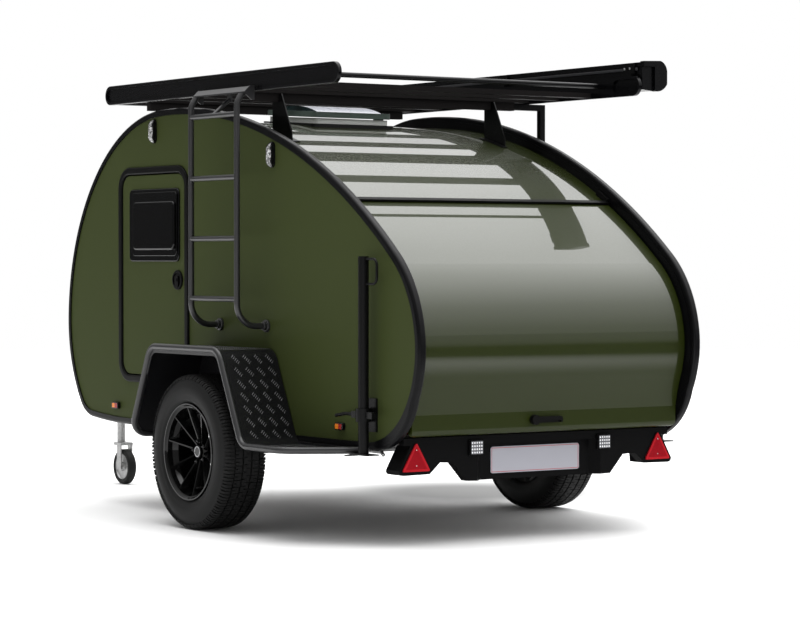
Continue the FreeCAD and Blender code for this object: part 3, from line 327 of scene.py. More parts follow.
matt = add(tree, "BsdfDiffuse", shade).outputs[0]
open_end = add(tree, "BsdfTransparent").outputs[0]
surface = add(tree, "MixShader", fade, matt, open_end).outputs[0]
tree.links.new(surface, add(tree, "OutputMaterial").inputs["Surface"])
floor.data.materials.append(pale)
bpy.context.scene.view_settings.view_transform = "Standard"

# %% [markdown]
# ## Finishes
# Every finish is made from noise and simple maths on object coordinates, which are metres on
# the real object, so grain has its true scale. Effects that several finishes share are node
# groups with named sockets. Each gives out a value, colour or normal, and the shader itself
# stays in the material.

# %% Shared effect: a fine uneven surface
def new_group(name, inputs, outputs):
    """A shader group. Inputs are (label, socket kind, value) and outputs (label, socket kind)."""
    group = bpy.data.node_groups.new(name, "ShaderNodeTree")
    for label, kind, value in inputs:
        socket = group.interface.new_socket(label, in_out="INPUT", socket_type="NodeSocket" + kind)
        if value is not None:
            socket.default_value = value
    for label, kind in outputs:
        group.interface.new_socket(label, in_out="OUTPUT", socket_type="NodeSocket" + kind)
    return group, group.nodes.new("NodeGroupInput").outputs, group.nodes.new("NodeGroupOutput").inputs


def use_group(tree, group, **values):
    node = tree.nodes.new("ShaderNodeGroup")
    node.node_tree = group
    for key, value in values.items():
        socket = node.inputs[key.replace("_", " ")]
        if isinstance(value, bpy.types.NodeSocket):
            tree.links.new(value, socket)
        else:
            socket.default_value = value
    return node.outputs


def build_grain():
    """Noise bumps of one size, as on moulded plastic, powder coat or orange peel."""
    group, given, result = new_group("grain", (
        ("Place", "Vector", None), ("Size mm", "Float", 1.0), ("Height mm", "Float", 0.05),
        ("Softness", "Float", 0.5),
    ), (("Normal", "Vector"), ("Value", "Float")))
    scale = math_node(group, "DIVIDE", 1000.0, given["Size mm"])
    noise = add(group, "TexNoise", Vector=given["Place"], Scale=scale, Detail=2.0,
                Roughness=given["Softness"])
    depth = math_node(group, "DIVIDE", given["Height mm"], 1000.0)
    bump = add(group, "Bump", Distance=depth, Height=noise.outputs[0], Strength=1.0)
    group.links.new(bump.outputs[0], result["Normal"])
    group.links.new(noise.outputs[0], result["Value"])
    return group


def build_patches():
    """Slow changes of tone over a surface, with a little dust where it faces up."""
    group, given, result = new_group("patches", (
        ("Place", "Vector", None), ("Tone", "Color", (0.5, 0.5, 0.5, 1)), ("Spread", "Float", 0.1),
        ("Size mm", "Float", 120.0), ("Dust", "Float", 0.0),
    ), (("Colour", "Color"), ("Dust mask", "Float")))
    scale = math_node(group, "DIVIDE", 1000.0, given["Size mm"])
    noise = add(group, "TexNoise", Vector=given["Place"], Scale=scale, Detail=4.0, Roughness=0.6).outputs[0]
    swing = math_node(group, "MULTIPLY", math_node(group, "SUBTRACT", noise, 0.5), given["Spread"])
    gain = math_node(group, "ADD", math_node(group, "MULTIPLY", swing, 2.0), 1.0)
    toned = add(group, "HueSaturation", Color=given["Tone"], Value=gain).outputs[0]
    up = add(group, "SeparateXYZ", add(group, "NewGeometry").outputs["Normal"]).outputs["Z"]
    facing_up = add(group, "MapRange", up, 0.3, 0.95, 0.0, 1.0).outputs[0]
    speckle = add(group, "MapRange", noise, 0.35, 0.7, 0.0, 1.0).outputs[0]
    mask = math_node(group, "MULTIPLY", math_node(group, "MULTIPLY", facing_up, speckle), given["Dust"])
    dusty = add(group, "Mix", data_type="RGBA")
    group.links.new(mask, dusty.inputs[0])
    group.links.new(toned, dusty.inputs[6])
    dusty.inputs[7].default_value = (0.30, 0.28, 0.25, 1)
    group.links.new(dusty.outputs[2], result["Colour"])
    group.links.new(mask, result["Dust mask"])
    return group


grain = build_grain()
patches = build_patches()


# %% One recipe for painted, moulded and rubber surfaces
def coated(name, tone, roughness, grain_mm, height_mm, spread=0.08, patch_mm=150.0, dust=0.0, **sockets):
    """Principled surface with grain, slow tone changes and dust; sockets are set as they are."""
    material = bpy.data.materials.new(name)
    material.use_nodes = True
    tree = material.node_tree
    shader = tree.nodes["Principled BSDF"]
    place = add(tree, "TexCoord").outputs["Object"]
    colour = use_group(tree, patches, Place=place, Tone=(*tone, 1), Spread=spread, Size_mm=patch_mm,
                       Dust=dust)
    bumps = use_group(tree, grain, Place=place, Size_mm=grain_mm, Height_mm=height_mm, Softness=0.5)
    rough = add(tree, "MapRange", bumps["Value"], 0.3, 0.7, roughness - 0.04, roughness + 0.04).outputs[0]
    tree.links.new(colour["Colour"], shader.inputs["Base Color"])
    tree.links.new(rough, shader.inputs["Roughness"])
    tree.links.new(bumps["Normal"], shader.inputs["Normal"])
    for key, value in sockets.items():
        shader.inputs[key.replace("_", " ")].default_value = value
    return material


# %% [markdown]
# ## Body paint
# The sides are laminated panel in a satin olive that mirrors nothing sharply. The roof and hatch
# are the same olive under a clear coat, given a darker base colour as painted shade, and the coat gives
# them the sharp mirror image of the studio. A very shallow, wide wave keeps that image from being too
# perfect.

# %% Body paint
OLIVE = (0.040, 0.051, 0.016)
# painted shade: the roof and hatch take a darker copy of the same olive paint
OLIVE_WITH_PAINTED_SHADE = (0.015, 0.021, 0.002)
side_paint = coated("side_paint", OLIVE, 0.50, 2.5, 0.006, spread=0.02, patch_mm=500.0,
                    Specular_IOR_Level=0.05)
gloss_paint = coated("gloss_paint", OLIVE_WITH_PAINTED_SHADE, 0.42, 9.0, 0.006, spread=0.02, patch_mm=700.0,
                     Specular_IOR_Level=0.1, Coat_Weight=1.0, Coat_Roughness=0.02, Coat_IOR=1.46)
# road film dulls the clear coat below this height band
FILM_Z = (0.76, 0.84)
tree = gloss_paint.node_tree
height = add(tree, "SeparateXYZ", add(tree, "TexCoord").outputs["Object"]).outputs["Z"]
clear = add(tree, "MapRange", height, *FILM_Z, 0.22, 1.0, interpolation_type="SMOOTHSTEP").outputs[0]
tree.links.new(clear, tree.nodes["Principled BSDF"].inputs["Coat Weight"])

# %% [markdown]
# ## Blacks
# A black object is told apart by its gloss and grain alone: powder coat sparkles a little,
# moulded plastic has a fine leathery grain, rubber is dull, and anodised rail is smoother.

# %% Black finishes
powder_coat = coated("powder_coat", (0.0035, 0.0035, 0.0037), 0.28, 0.9, 0.015, Specular_IOR_Level=0.12)
moulded_black = coated("moulded_black", (0.004, 0.004, 0.004), 0.36, 0.7, 0.015, Specular_IOR_Level=0.06)
edge_trim = coated("edge_trim", (0.003, 0.003, 0.0035), 0.30, 0.7, 0.008, Specular_IOR_Level=0.10)
anodised = coated("anodised_rail", (0.002, 0.002, 0.0025), 0.26, 0.5, 0.01, Specular_IOR_Level=0.15)
gloss_black = coated("gloss_black_wheel", (0.001, 0.001, 0.001), 0.20, 4.0, 0.002,
                     Specular_IOR_Level=0.05, Coat_Weight=0.45, Coat_Roughness=0.04)
tread_plate = coated("tread_plate", (0.006, 0.006, 0.007), 0.30, 0.8, 0.015, Specular_IOR_Level=0.35)
# painted highlight: the raised bars take a lighter copy of the plate's black
painted_highlight_plate = coated("painted_highlight_plate", (0.050, 0.050, 0.053), 0.30, 0.8, 0.015, Specular_IOR_Level=0.6)
satin_tube = coated("satin_tube", (0.012, 0.012, 0.013), 0.36, 0.9, 0.015, Specular_IOR_Level=0.6)
rubber = coated("tyre_rubber", (0.006, 0.006, 0.006), 0.60, 1.2, 0.05, spread=0.12, patch_mm=60.0,
                dust=0.02, Specular_IOR_Level=0.2)
cast_iron = coated("cast_drum", (0.05, 0.048, 0.046), 0.6, 1.5, 0.12, spread=0.2, patch_mm=30.0)

# %% Boards
interior_board = coated("interior_board", (0.50, 0.42, 0.31), 0.45, 1.5, 0.02, spread=0.06)
floor_board = coated("floor_board", (0.045, 0.038, 0.030), 0.7, 2.0, 0.08, spread=0.15)


# %% [markdown]
# ## Hot-dip galvanised steel
# Zinc sets in crystals, so the steel shows cells of slightly different greys, each with its own
# gloss. A Voronoi pattern stretched over noise makes such cells.

# %% Galvanised steel
def build_zinc():
    material = bpy.data.materials.new("galvanised_steel")
    material.use_nodes = True
    tree = material.node_tree
    shader = tree.nodes["Principled BSDF"]
    place = add(tree, "TexCoord").outputs["Object"]
    cells = add(tree, "TexVoronoi", Vector=place, Scale=90.0, Randomness=1.0)
    tone = add(tree, "SeparateColor", cells.outputs["Color"]).outputs[0]
    bumps = use_group(tree, grain, Place=place, Size_mm=1.2, Height_mm=0.02, Softness=0.6)
    tree.links.new(ramp(tree, tone, ((0.0, 0.30), (1.0, 0.46))), shader.inputs["Base Color"])
    tree.links.new(add(tree, "MapRange", tone, 0.0, 1.0, 0.38, 0.55).outputs[0], shader.inputs["Roughness"])
    tree.links.new(bumps["Normal"], shader.inputs["Normal"])
    shader.inputs["Metallic"].default_value = 0.85
    return material


galvanised = build_zinc()


# %% [markdown]
# ## Glazing
# The door windows are smoked acrylic, nearly black and smooth, and let a little light through.

# %% Glazing
smoked_glass = coated("smoked_glass", (0.0008, 0.0008, 0.001), 0.06, 60.0, 0.02, spread=0.02,
                      Transmission_Weight=0.08, IOR=1.49, Specular_IOR_Level=0.25)
# %% Finish of the CAD pieces, by material slot
FINISH = {
    "olive_paint": gloss_paint, "black_powder": powder_coat, "black_plastic": moulded_black,
    "gloss_black": gloss_black, "tyre_rubber": rubber, "galvanised": galvanised,
    "cast_drum": cast_iron, "smoked_glass": smoked_glass, "interior_board": interior_board,
    "floor_board": floor_board, "alu_rail": anodised, "diamond_plate": tread_plate,
}
slot_of = {part["node"]: part["material_slot"] for part in record["subparts"]}


def give_finish(name, material):
    """Gives a CAD piece one material."""
    nodes[name].data.materials.clear()
    nodes[name].data.materials.append(material)


# the lamps, the plate and the skylight have slots of their own and get their finish further on
for name in nodes:
    if slot_of[name] in FINISH:
        give_finish(name, FINISH[slot_of[name]])
for side, _ in SIDES:
    give_finish("body_trim_" + side, edge_trim)
    give_finish("fender_tube_" + side, satin_tube)
    give_finish("side_panel_" + side, side_paint)
    give_finish("door_" + side, side_paint)
for name in ("ladder", "ladder_rungs"):
    give_finish(name, satin_tube)
print("finishes:", len(FINISH))

# %% [markdown]
# ## Bright metal
# Screws, bolts and the hub cap's ring are zinc-plated steel: plain metal, slightly rough.

# %% Small bright metal
bright_metal = coated("bright_metal", (0.55, 0.55, 0.56), 0.28, 1.5, 0.01, spread=0.05, Metallic=1.0)

# %% [markdown]
# ## Tyres
# An all-terrain tyre is moulded: a smooth sidewall, and a tread of rubber blocks with grooves
# cut between them. The blocks repeat round the tyre, so one short stretch is modelled. Its
# cross-section is drawn corner by corner and swept through one pitch of the tread, and the
# faces that are rubber blocks are raised. Turned copies of that stretch then close the ring.

# %% Drawing a section line
def draw_line(name, points):
    """A line of edges, one extrusion for each corner."""
    deselect_all()
    bpy.ops.mesh.primitive_plane_add(size=0.001, location=points[0])
    piece = bpy.context.object
    piece.name = name
    bpy.ops.object.transform_apply(location=True)
    bpy.ops.object.mode_set(mode="EDIT")
    bpy.ops.mesh.select_all(action="SELECT")
    bpy.ops.mesh.merge(type="CENTER")
    for start, end in zip(points, points[1:]):
        step = Vector(end) - Vector(start)
        bpy.ops.mesh.extrude_region_move(TRANSFORM_OT_translate={"value": step})
    bpy.ops.object.mode_set(mode="OBJECT")
    return piece


def spin(piece, centre, axis, angle, steps):
    """Sweeps the whole piece round an axis."""
    start_editing(piece, "VERT")
    bpy.ops.mesh.select_all(action="SELECT")
    bpy.ops.mesh.spin(steps=steps, angle=math.radians(angle), center=centre, axis=axis)
    bpy.ops.mesh.select_all(action="SELECT")
    bpy.ops.mesh.remove_doubles(threshold=0.00002)
    bpy.ops.mesh.normals_make_consistent(inside=False)
    bpy.ops.object.mode_set(mode="OBJECT")


# %% One pitch of the tyre
TREAD_PITCHES = 66
PITCH_STEPS = 8
TREAD_DEPTH = 0.0080
tyre_middle = (wheel_low.y + wheel_high.y) / 2
tyre_half = (wheel_high.y - wheel_low.y) / 2
tyre_radius = (wheel_high.z - wheel_low.z) / 2
wheel_centre = Vector((AXLE_X, tyre_middle, AXLE_Z))
TREAD_COLUMNS = (0.0, 0.006, 0.019, 0.027, 0.044, 0.061, 0.069, 0.082)
SHOULDER = (
    # depth in from the side, depth below the tread's top
    (0.027, 0.0120), (0.0190, 0.0180), (0.0135, 0.0275), (0.0098, 0.0410),
)
SIDEWALL = (
    # depth in from the side, radius less than the tread's top
    (0.0034, 0.0540), (0.0008, 0.0720), (0.0002, 0.0880), (0.0020, 0.1020), (0.0030, 0.1050),
    (0.0030, 0.1150), (0.0060, 0.1240), (0.0130, 0.1330), (0.0230, 0.1420),
)


def tyre_section():
    """Corner points from the outer bead over the tread to the inner bead."""
    half = [(tyre_half - inset, tyre_radius - drop) for inset, drop in reversed(SHOULDER + SIDEWALL)]
    crown = 0.0035 / tyre_half ** 2
    half += [(y, tyre_radius - TREAD_DEPTH - crown * y * y) for y in reversed(TREAD_COLUMNS)]
    line = half + [(-y, radius) for y, radius in reversed(half[:-1])]
    return [wheel_centre + Vector((0, y, radius)) for y, radius in line]


def tread_place(middle):
    """Distance from the tyre's middle, radius, and step within the pitch of a face's middle."""
    away = middle - wheel_centre
    turned = math.degrees(math.atan2(away.x, away.z))
    step = math.floor(turned * TREAD_PITCHES * PITCH_STEPS / 360) % PITCH_STEPS
    return away.y, math.hypot(away.x, away.z), step


def is_block(middle, normal):
    """Rubber block or groove: staggered rows with cross grooves, long and short shoulder lugs."""
    y, radius, step = tread_place(middle)
    out = abs(y)
    shifted = (step + (3 if y < 0 else 0)) % PITCH_STEPS
    if out < 0.019:
        return (step != 2 if y > 0 else step != 6) and out > 0.002
    if 0.027 < out < 0.061:
        return shifted not in ((1,) if out < 0.044 else (1, 5))
    if 0.069 < out and radius > tyre_radius - 0.024:
        return shifted not in (0, 4) if out < 0.095 else shifted in (1, 2, 3, 6, 7)
    return False


section = draw_line("tyre_tread_left", tyre_section())
spin(section, wheel_centre, (0, 1, 0), 360 / TREAD_PITCHES, PITCH_STEPS)
start_editing(section)
bpy.ops.mesh.normals_make_consistent(inside=False)
pick_faces(section, is_block)
bpy.ops.mesh.extrude_region_shrink_fatten(TRANSFORM_OT_shrink_fatten={"value": TREAD_DEPTH})
bpy.ops.object.mode_set(mode="OBJECT")
print("one pitch:", len(section.data.polygons), "faces")

# %% Both tyres
def turned_copies(name, model, count, centre):
    """Copies of a model all round an axle, joined into one piece."""
    there, back = Matrix.Translation(centre), Matrix.Translation(-centre)
    turns = [Matrix.Rotation(math.tau * i / count, 4, "Y") for i in range(count)]
    return copies(name, model, [there @ turn @ back for turn in turns])


tyre = turned_copies("tyre_tread_left", section, TREAD_PITCHES, wheel_centre)
start_editing(tyre, "VERT")
bpy.ops.mesh.select_all(action="SELECT")
bpy.ops.mesh.remove_doubles(threshold=0.0001)
bpy.ops.mesh.normals_make_consistent(inside=False)
bpy.ops.object.mode_set(mode="OBJECT")
for piece, side in ((tyre, "left"), (mirrored("tyre_tread_right", tyre), "right")):
    finish_piece(piece, "wheel_" + side, rubber, 28)
    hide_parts("tyre_" + side)

# %% [markdown]
# ## Wheel fittings
# Five nuts sit in the valleys between the blades, a thin bright ring goes round the hub cap and
# a rubber valve comes through the barrel. A nut is a six-sided cylinder with a dome on it.

# %% Nuts, cap ring and valve
NUT_COUNT = 5
NUT_CIRCLE_R = 0.052
rim_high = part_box("rim_left")[1]
HUB_Y = rim_high.y - 0.066
hub_middle = Vector((AXLE_X, HUB_Y, AXLE_Z))
nut = cylinder("nut", 0.0105, (0, 0, -0.010), (0, 0, 0.010), sides=6)
start_editing(nut)
pick_faces(nut, lambda middle, normal: normal.z > 0.9)
bpy.ops.mesh.inset(thickness=0.0015)
bpy.ops.mesh.extrude_region_move(TRANSFORM_OT_translate={"value": (0, 0, 0.005)})
bpy.ops.transform.resize(value=(0.6, 0.6, 1), center_override=(0, 0, 0.015))
bpy.ops.object.mode_set(mode="OBJECT")
soften(nut, 0.0008)
FIRST_NUT = math.radians(12)
nut_places = []
for i in range(NUT_COUNT):
    turn = FIRST_NUT + math.tau * i / NUT_COUNT
    out = Vector((math.sin(turn), 0, math.cos(turn))) * NUT_CIRCLE_R
    nut_places.append(facing(hub_middle + out + Vector((0, -0.004, 0)), (0, 1, 0), turn))
nuts = copies("wheel_nuts_left", nut, nut_places)

CAP_RING_R = 0.0250
CAP_RING_Y = (0.0110, 0.0128)    # out from the hub's middle
ring_ends = [hub_middle + Vector((0, out, 0)) for out in CAP_RING_Y]
cap_ring = cylinder("cap_ring_left", CAP_RING_R, *ring_ends, 48)
start_editing(cap_ring)
pick_faces(cap_ring, lambda middle, normal: abs(normal.y) > 0.9)
bpy.ops.mesh.inset(thickness=0.0035)
bpy.ops.mesh.bridge_edge_loops()
bpy.ops.object.mode_set(mode="OBJECT")
soften(cap_ring, 0.0004)

VALVE_R = 0.178
valve_turn = math.radians(200)
valve_foot = hub_middle + Vector((math.sin(valve_turn) * VALVE_R, 0.010, math.cos(valve_turn) * VALVE_R))
valve = cylinder("wheel_valve_left", 0.0042, valve_foot, valve_foot + Vector((0, 0.034, 0)), 16)
start_editing(valve)
pick_faces(valve, lambda middle, normal: normal.y > 0.9)
bpy.ops.mesh.inset(thickness=0.0012)
bpy.ops.mesh.extrude_region_move(TRANSFORM_OT_translate={"value": (0, 0.006, 0)})
bpy.ops.object.mode_set(mode="OBJECT")
soften(valve, 0.0006)

for model, material, slot in ((nuts, gloss_black, "gloss_black"), (cap_ring, bright_metal, "galvanised"),
                              (valve, rubber, "tyre_rubber")):
    twin = mirrored(model.name.replace("left", "right"), model)
    finish_piece(model, "wheel_left", material)
    finish_piece(twin, "wheel_right", material)
# %% [markdown]
# ## Tread plate on the fenders
# Five-bar plate is rolled steel with small raised bars in groups. One bar is a low cube whose
# top is drawn in, a group is five of them side by side, and the groups are laid out in rows
# along each run of the fender. A ray cast onto the CAD plate finds where each group lies.

# %% One group of five bars
BAR_LENGTH = 0.019
BAR_WIDTH = 0.0050
BAR_HEIGHT = 0.0024
BAR_STEP = 0.0106
GROUP_PITCH_ACROSS = 0.0615
GROUP_PITCH_ALONG = 0.064

bar_half = Vector((BAR_WIDTH / 2, BAR_LENGTH / 2, 0))
bar = cube("plate_bar", -bar_half, bar_half + Vector((0, 0, BAR_HEIGHT)))
start_editing(bar)
pick_faces(bar, lambda middle, normal: normal.z > 0.9)
bpy.ops.transform.resize(value=(0.35, 0.72, 1), center_override=(0, 0, BAR_HEIGHT))
bpy.ops.object.mode_set(mode="OBJECT")
start_editing(bar)
pick_faces(bar, lambda middle, normal: normal.z < -0.9)
bpy.ops.mesh.delete(type="FACE")
bpy.ops.object.mode_set(mode="OBJECT")
bar_places = [Matrix.Translation((BAR_STEP * i, 0, 0)) @ Matrix.Rotation(math.radians(8), 4, "Z")
              for i in (-2, -1, 0, 1, 2)]
group_of_bars = copies("plate_group", bar, bar_places)
print("faces in a group:", len(group_of_bars.data.polygons))

# %% Rows of groups on each run of the fender
FENDER_CORNERS = (
    # x from the axle, z, from the front foot to the tail
    (0.540, 0.445), (0.353, 0.864), (-0.301, 0.864), (-0.513, 0.428), (-0.880, 0.428),
)
PLATE_Y = (0.840, 1.078)
GROUP_LEAN = math.radians(-53)
fender_node = nodes["fender_left"]


def plate_places():
    """Matrices that stand a group on the plate, run by run."""
    places = []
    for start, end in zip(FENDER_CORNERS, FENDER_CORNERS[1:]):
        start, end = (Vector((AXLE_X + x, 0, z)) for x, z in (start, end))
        run = (end - start).normalized()
        out = Vector((run.z, 0, -run.x))
        length = (end - start).length
        rows = int((length - 0.07) / GROUP_PITCH_ALONG)
        across = int((PLATE_Y[1] - PLATE_Y[0]) / GROUP_PITCH_ACROSS) + 1
        for row in range(rows + 1):
            along = length / 2 + (row - rows / 2) * GROUP_PITCH_ALONG
            for column in range(across):
                y = PLATE_Y[0] + column * GROUP_PITCH_ACROSS
                origin = start + run * along + out * 0.05 + Vector((0, y, 0))
                hit, spot, normal, _ = fender_node.ray_cast(origin, -out, distance=0.1)
                if hit and normal.dot(out) > 0.9:
                    frame_of_run = Matrix((Vector((0, 1, 0)), run, out)).transposed()
                    if frame_of_run.determinant() < 0:
                        frame_of_run = Matrix((Vector((0, 1, 0)), -run, out)).transposed()
                    places.append(Matrix.Translation(spot - out * 0.0002) @ frame_of_run.to_4x4()
                                  @ Matrix.Rotation(GROUP_LEAN, 4, "Z"))
    return places


group_places = plate_places()
bars_left = copies("tread_plate_bars_left", group_of_bars, group_places)
bars_right = mirrored("tread_plate_bars_right", bars_left)
# the bars get the lighter painted-highlight copy of the plate's black
for piece in (bars_left, bars_right):
    finish_piece(piece, "trailer", painted_highlight_plate, 60)
print("groups:", len(group_places))

# %% [markdown]
# ## Lamps, reflectors and plate
# Each lamp comes from the CAD model as one solid, housing and lens together. A lens could be
# modelled over its housing, but a mask keeps the CAD outline: a few comparisons on object
# coordinates are 1 on the lens and 0 on the housing, and the base colour mixes the two.

# %% Masks from coordinates
def coordinates(tree):
    """X, Z and the distance from the centre plane of the place that is shaded."""
    place = add(tree, "SeparateXYZ", add(tree, "TexCoord").outputs["Object"]).outputs
    return place["X"], place["Z"], math_node(tree, "ABSOLUTE", place["Y"])


def less(tree, first, second):
    return math_node(tree, "SUBTRACT", first, second)


def inside(tree, value, middle, half):
    """1 where a value is within half of the middle."""
    return math_node(tree, "LESS_THAN", math_node(tree, "ABSOLUTE", less(tree, value, middle)), half)


def recolour(material, mask, tone):
    """Mixes another colour over the base colour where the mask is 1."""
    tree = material.node_tree
    shader = tree.nodes["Principled BSDF"]
    under = shader.inputs["Base Color"].links[0].from_socket
    colour = (*tone, 1) if isinstance(tone, tuple) else tone
    tree.links.new(two_tones(tree, mask, under, colour), shader.inputs["Base Color"])


# %% Side lamps: an upright oval lens in a black base
OVAL_CENTRES = ((0.210, 1.935), (-0.943, 1.780))    # x, z
OVAL_LENS = (0.0205, 0.055)
FACETS_PER_METRE = 150.0
FACET_GLINT_TONES = ((0.0, 0.05), (0.5, 0.22), (1.0, 0.75))
HOUSING_BLACK = (0.004, 0.004, 0.0045)
oval_lamp = coated("oval_lamp", HOUSING_BLACK, 0.25, 0.9, 0.012, Specular_IOR_Level=0.3)
tree = oval_lamp.node_tree
x, z, _ = coordinates(tree)
rings = []
for centre_x, centre_z in OVAL_CENTRES:
    across = math_node(tree, "DIVIDE", less(tree, x, centre_x), OVAL_LENS[0])
    along = math_node(tree, "DIVIDE", less(tree, z, centre_z), OVAL_LENS[1])
    square = math_node(tree, "MULTIPLY", across, across)
    rings.append(math_node(tree, "MULTIPLY_ADD", along, along, square))
lens_mask = math_node(tree, "LESS_THAN", math_node(tree, "MINIMUM", *rings), 1.0)
# painted glints: the lens is pale, and its brightness that changes facet by facet is painted glints
facets = add(tree, "TexVoronoi", Vector=add(tree, "TexCoord").outputs["Object"],
             Scale=FACETS_PER_METRE, Randomness=1.0)
painted_glints = ramp(tree, add(tree, "SeparateColor", facets.outputs["Color"]).outputs[0], FACET_GLINT_TONES)
recolour(oval_lamp, lens_mask, painted_glints)
give_finish("oval_lamps", oval_lamp)
print("side lamps:", len(OVAL_CENTRES))

# %% [markdown]
# A side marker is amber towards the front and red towards the tail, in a black housing. The
# whole lens is coloured red first, and then its front half amber.

# %% Side markers
MARKER_CENTRES = (0.616, -1.542)
MARKER_Z_MIDDLE = 0.527
MARKER_LENS_HALF = (0.027, 0.0115)
MARKER_RED = (0.30, 0.012, 0.010)
MARKER_AMBER = (0.75, 0.20, 0.012)
marker_lamp = coated("marker_lamp", HOUSING_BLACK, 0.25, 0.9, 0.012, Specular_IOR_Level=0.3)
tree = marker_lamp.node_tree
x, z, _ = coordinates(tree)
in_height = inside(tree, z, MARKER_Z_MIDDLE, MARKER_LENS_HALF[1])
quarter = MARKER_LENS_HALF[0] / 2
for centre_x in MARKER_CENTRES:
    lens = math_node(tree, "MULTIPLY", inside(tree, x, centre_x, MARKER_LENS_HALF[0]), in_height)
    recolour(marker_lamp, lens, MARKER_RED)
    front_half = inside(tree, x, centre_x + quarter, quarter)
    recolour(marker_lamp, math_node(tree, "MULTIPLY", front_half, in_height), MARKER_AMBER)
give_finish("side_marker_lamps", marker_lamp)
print("markers on a side:", len(MARKER_CENTRES))

# %% [markdown]
# The reversing lamps show a grid of small bright dots on grey. The fractional part of a
# coordinate divided by the dot pitch starts again in every cell, so one circle repeats.

# %% Reversing lamps
DOT_PITCH = (0.0128, 0.0145)
DOT_REACH = 0.085    # squared radius, in cells
REVERSE_CENTRE = (0.364, 0.440)
REVERSE_LENS_HALF = (0.0320, 0.0290)
reverse_lamp = coated("reverse_lamp", (0.010, 0.010, 0.011), 0.25, 0.9, 0.012, Specular_IOR_Level=0.3)
tree = reverse_lamp.node_tree
_, z, off_centre = coordinates(tree)
lens = math_node(tree, "MULTIPLY", inside(tree, off_centre, REVERSE_CENTRE[0], REVERSE_LENS_HALF[0]),
                 inside(tree, z, REVERSE_CENTRE[1], REVERSE_LENS_HALF[1]))
recolour(reverse_lamp, lens, (0.11, 0.11, 0.12))
columns = math_node(tree, "DIVIDE", less(tree, off_centre, REVERSE_CENTRE[0]), DOT_PITCH[0])
rows = math_node(tree, "DIVIDE", less(tree, z, REVERSE_CENTRE[1]), DOT_PITCH[1])
# half a cell of shift puts a column of dots on the centre line
column_part = less(tree, math_node(tree, "FRACT", math_node(tree, "ADD", columns, 0.5)), 0.5)
row_part = less(tree, math_node(tree, "FRACT", rows), 0.5)
reach = math_node(tree, "MULTIPLY_ADD", row_part, row_part,
                  math_node(tree, "MULTIPLY", column_part, column_part))
dots = math_node(tree, "MULTIPLY", math_node(tree, "LESS_THAN", reach, DOT_REACH), lens)
recolour(reverse_lamp, dots, (0.80, 0.81, 0.83))
give_finish("reversing_lamps", reverse_lamp)
print("dot pitch:", DOT_PITCH)

# %% [markdown]
# A triangular reflector has a brighter rim round a deep red field. The distance in from the
# nearest of its edges tells the two apart.

# %% Triangular reflectors
TRIANGLE_MIDDLE_Y = 0.688
TRIANGLE_BASE_Z = 0.345
TRIANGLE_TOP_Z = 0.475
TRIANGLE_HALF = 0.075
RIM_WIDTH = 0.010
triangle_red = coated("triangle_red", (0.36, 0.008, 0.014), 0.30, 1.5, 0.01, Specular_IOR_Level=0.08)
tree = triangle_red.node_tree
_, z, off_centre = coordinates(tree)
edge_length = math.hypot(TRIANGLE_HALF, TRIANGLE_TOP_Z - TRIANGLE_BASE_Z)
rise, run = (TRIANGLE_TOP_Z - TRIANGLE_BASE_Z) / edge_length, TRIANGLE_HALF / edge_length
sideways = math_node(tree, "ABSOLUTE", less(tree, off_centre, TRIANGLE_MIDDLE_Y))
from_top = math_node(tree, "MULTIPLY", less(tree, TRIANGLE_TOP_Z, z), run)
from_side = less(tree, from_top, math_node(tree, "MULTIPLY", sideways, rise))
depth_in = math_node(tree, "MINIMUM", from_side, less(tree, z, TRIANGLE_BASE_Z))
field = math_node(tree, "GREATER_THAN", depth_in, RIM_WIDTH)
recolour(triangle_red, field, (0.24, 0.002, 0.007))
give_finish("rear_reflectors", triangle_red)
print("reflector rim:", RIM_WIDTH)

# %% [markdown]
# The number plate is blank, with a thin red line a little way in from its edge.

# %% Blank plate
PLATE_MIDDLE_Z = 0.376
PLATE_HALF = (0.252, 0.060)
BORDER_INSET = 0.0045
BORDER_WIDTH = 0.0025
blank_plate = coated("blank_plate", (0.33, 0.33, 0.37), 0.35, 3.0, 0.004, spread=0.02)
tree = blank_plate.node_tree
_, z, off_centre = coordinates(tree)
up_gap = less(tree, PLATE_HALF[1], math_node(tree, "ABSOLUTE", less(tree, z, PLATE_MIDDLE_Z)))
edge_gap = math_node(tree, "MINIMUM", up_gap, less(tree, PLATE_HALF[0], off_centre))
border = inside(tree, edge_gap, BORDER_INSET + BORDER_WIDTH / 2, BORDER_WIDTH / 2)
recolour(blank_plate, border, (0.35, 0.02, 0.03))
give_finish("number_plate", blank_plate)
print("plate border:", BORDER_WIDTH)

# %% [markdown]
# ## Matt rack rails and bumper
# The slats and crossbars are black rail with a matt face, so that their undersides stay dark
# in the pale room. The bumper has a duller powder coat than the tubes.

# %% Slats, crossbars and bumper
matt_rail = coated("matt_rail", (0.012, 0.011, 0.011), 0.55, 0.5, 0.01, Specular_IOR_Level=0.02)
for name in ("rack_slats", "rack_crossbars"):
    give_finish(name, matt_rail)
bumper_coat = coated("bumper_coat", (0.0030, 0.0030, 0.0032), 0.40, 0.9, 0.015, Specular_IOR_Level=0.04)
give_finish("bumper", bumper_coat)
print("matt pieces:", 3)

# %% [markdown]
# ## Skylight
# The lid is a grey-green flange with a barrel dome. Its top is painted pale, a painted reflection of the
# light, and its upright ends are painted dark green as painted shade. Its frame is white above a black seal.
# Both lean with the roof, so heights are measured from a plane that leans about the front edge of the lid.

# %% Skylight lid and frame
SKYLIGHT_LEAN = math.radians(3.8)
SKYLIGHT_EDGE = (0.051, 2.022)    # x, z
SEAL_TOP = -0.0255
FLANGE_TOP = 0.035
FACES_UP = 0.6
UPRIGHT = 0.3


def above_edge(tree):
    """Height over the leaning plane through the lid's front edge."""
    x, z, _ = coordinates(tree)
    climb = math_node(tree, "MULTIPLY", less(tree, x, SKYLIGHT_EDGE[0]), math.tan(SKYLIGHT_LEAN))
    return less(tree, less(tree, z, SKYLIGHT_EDGE[1]), climb)


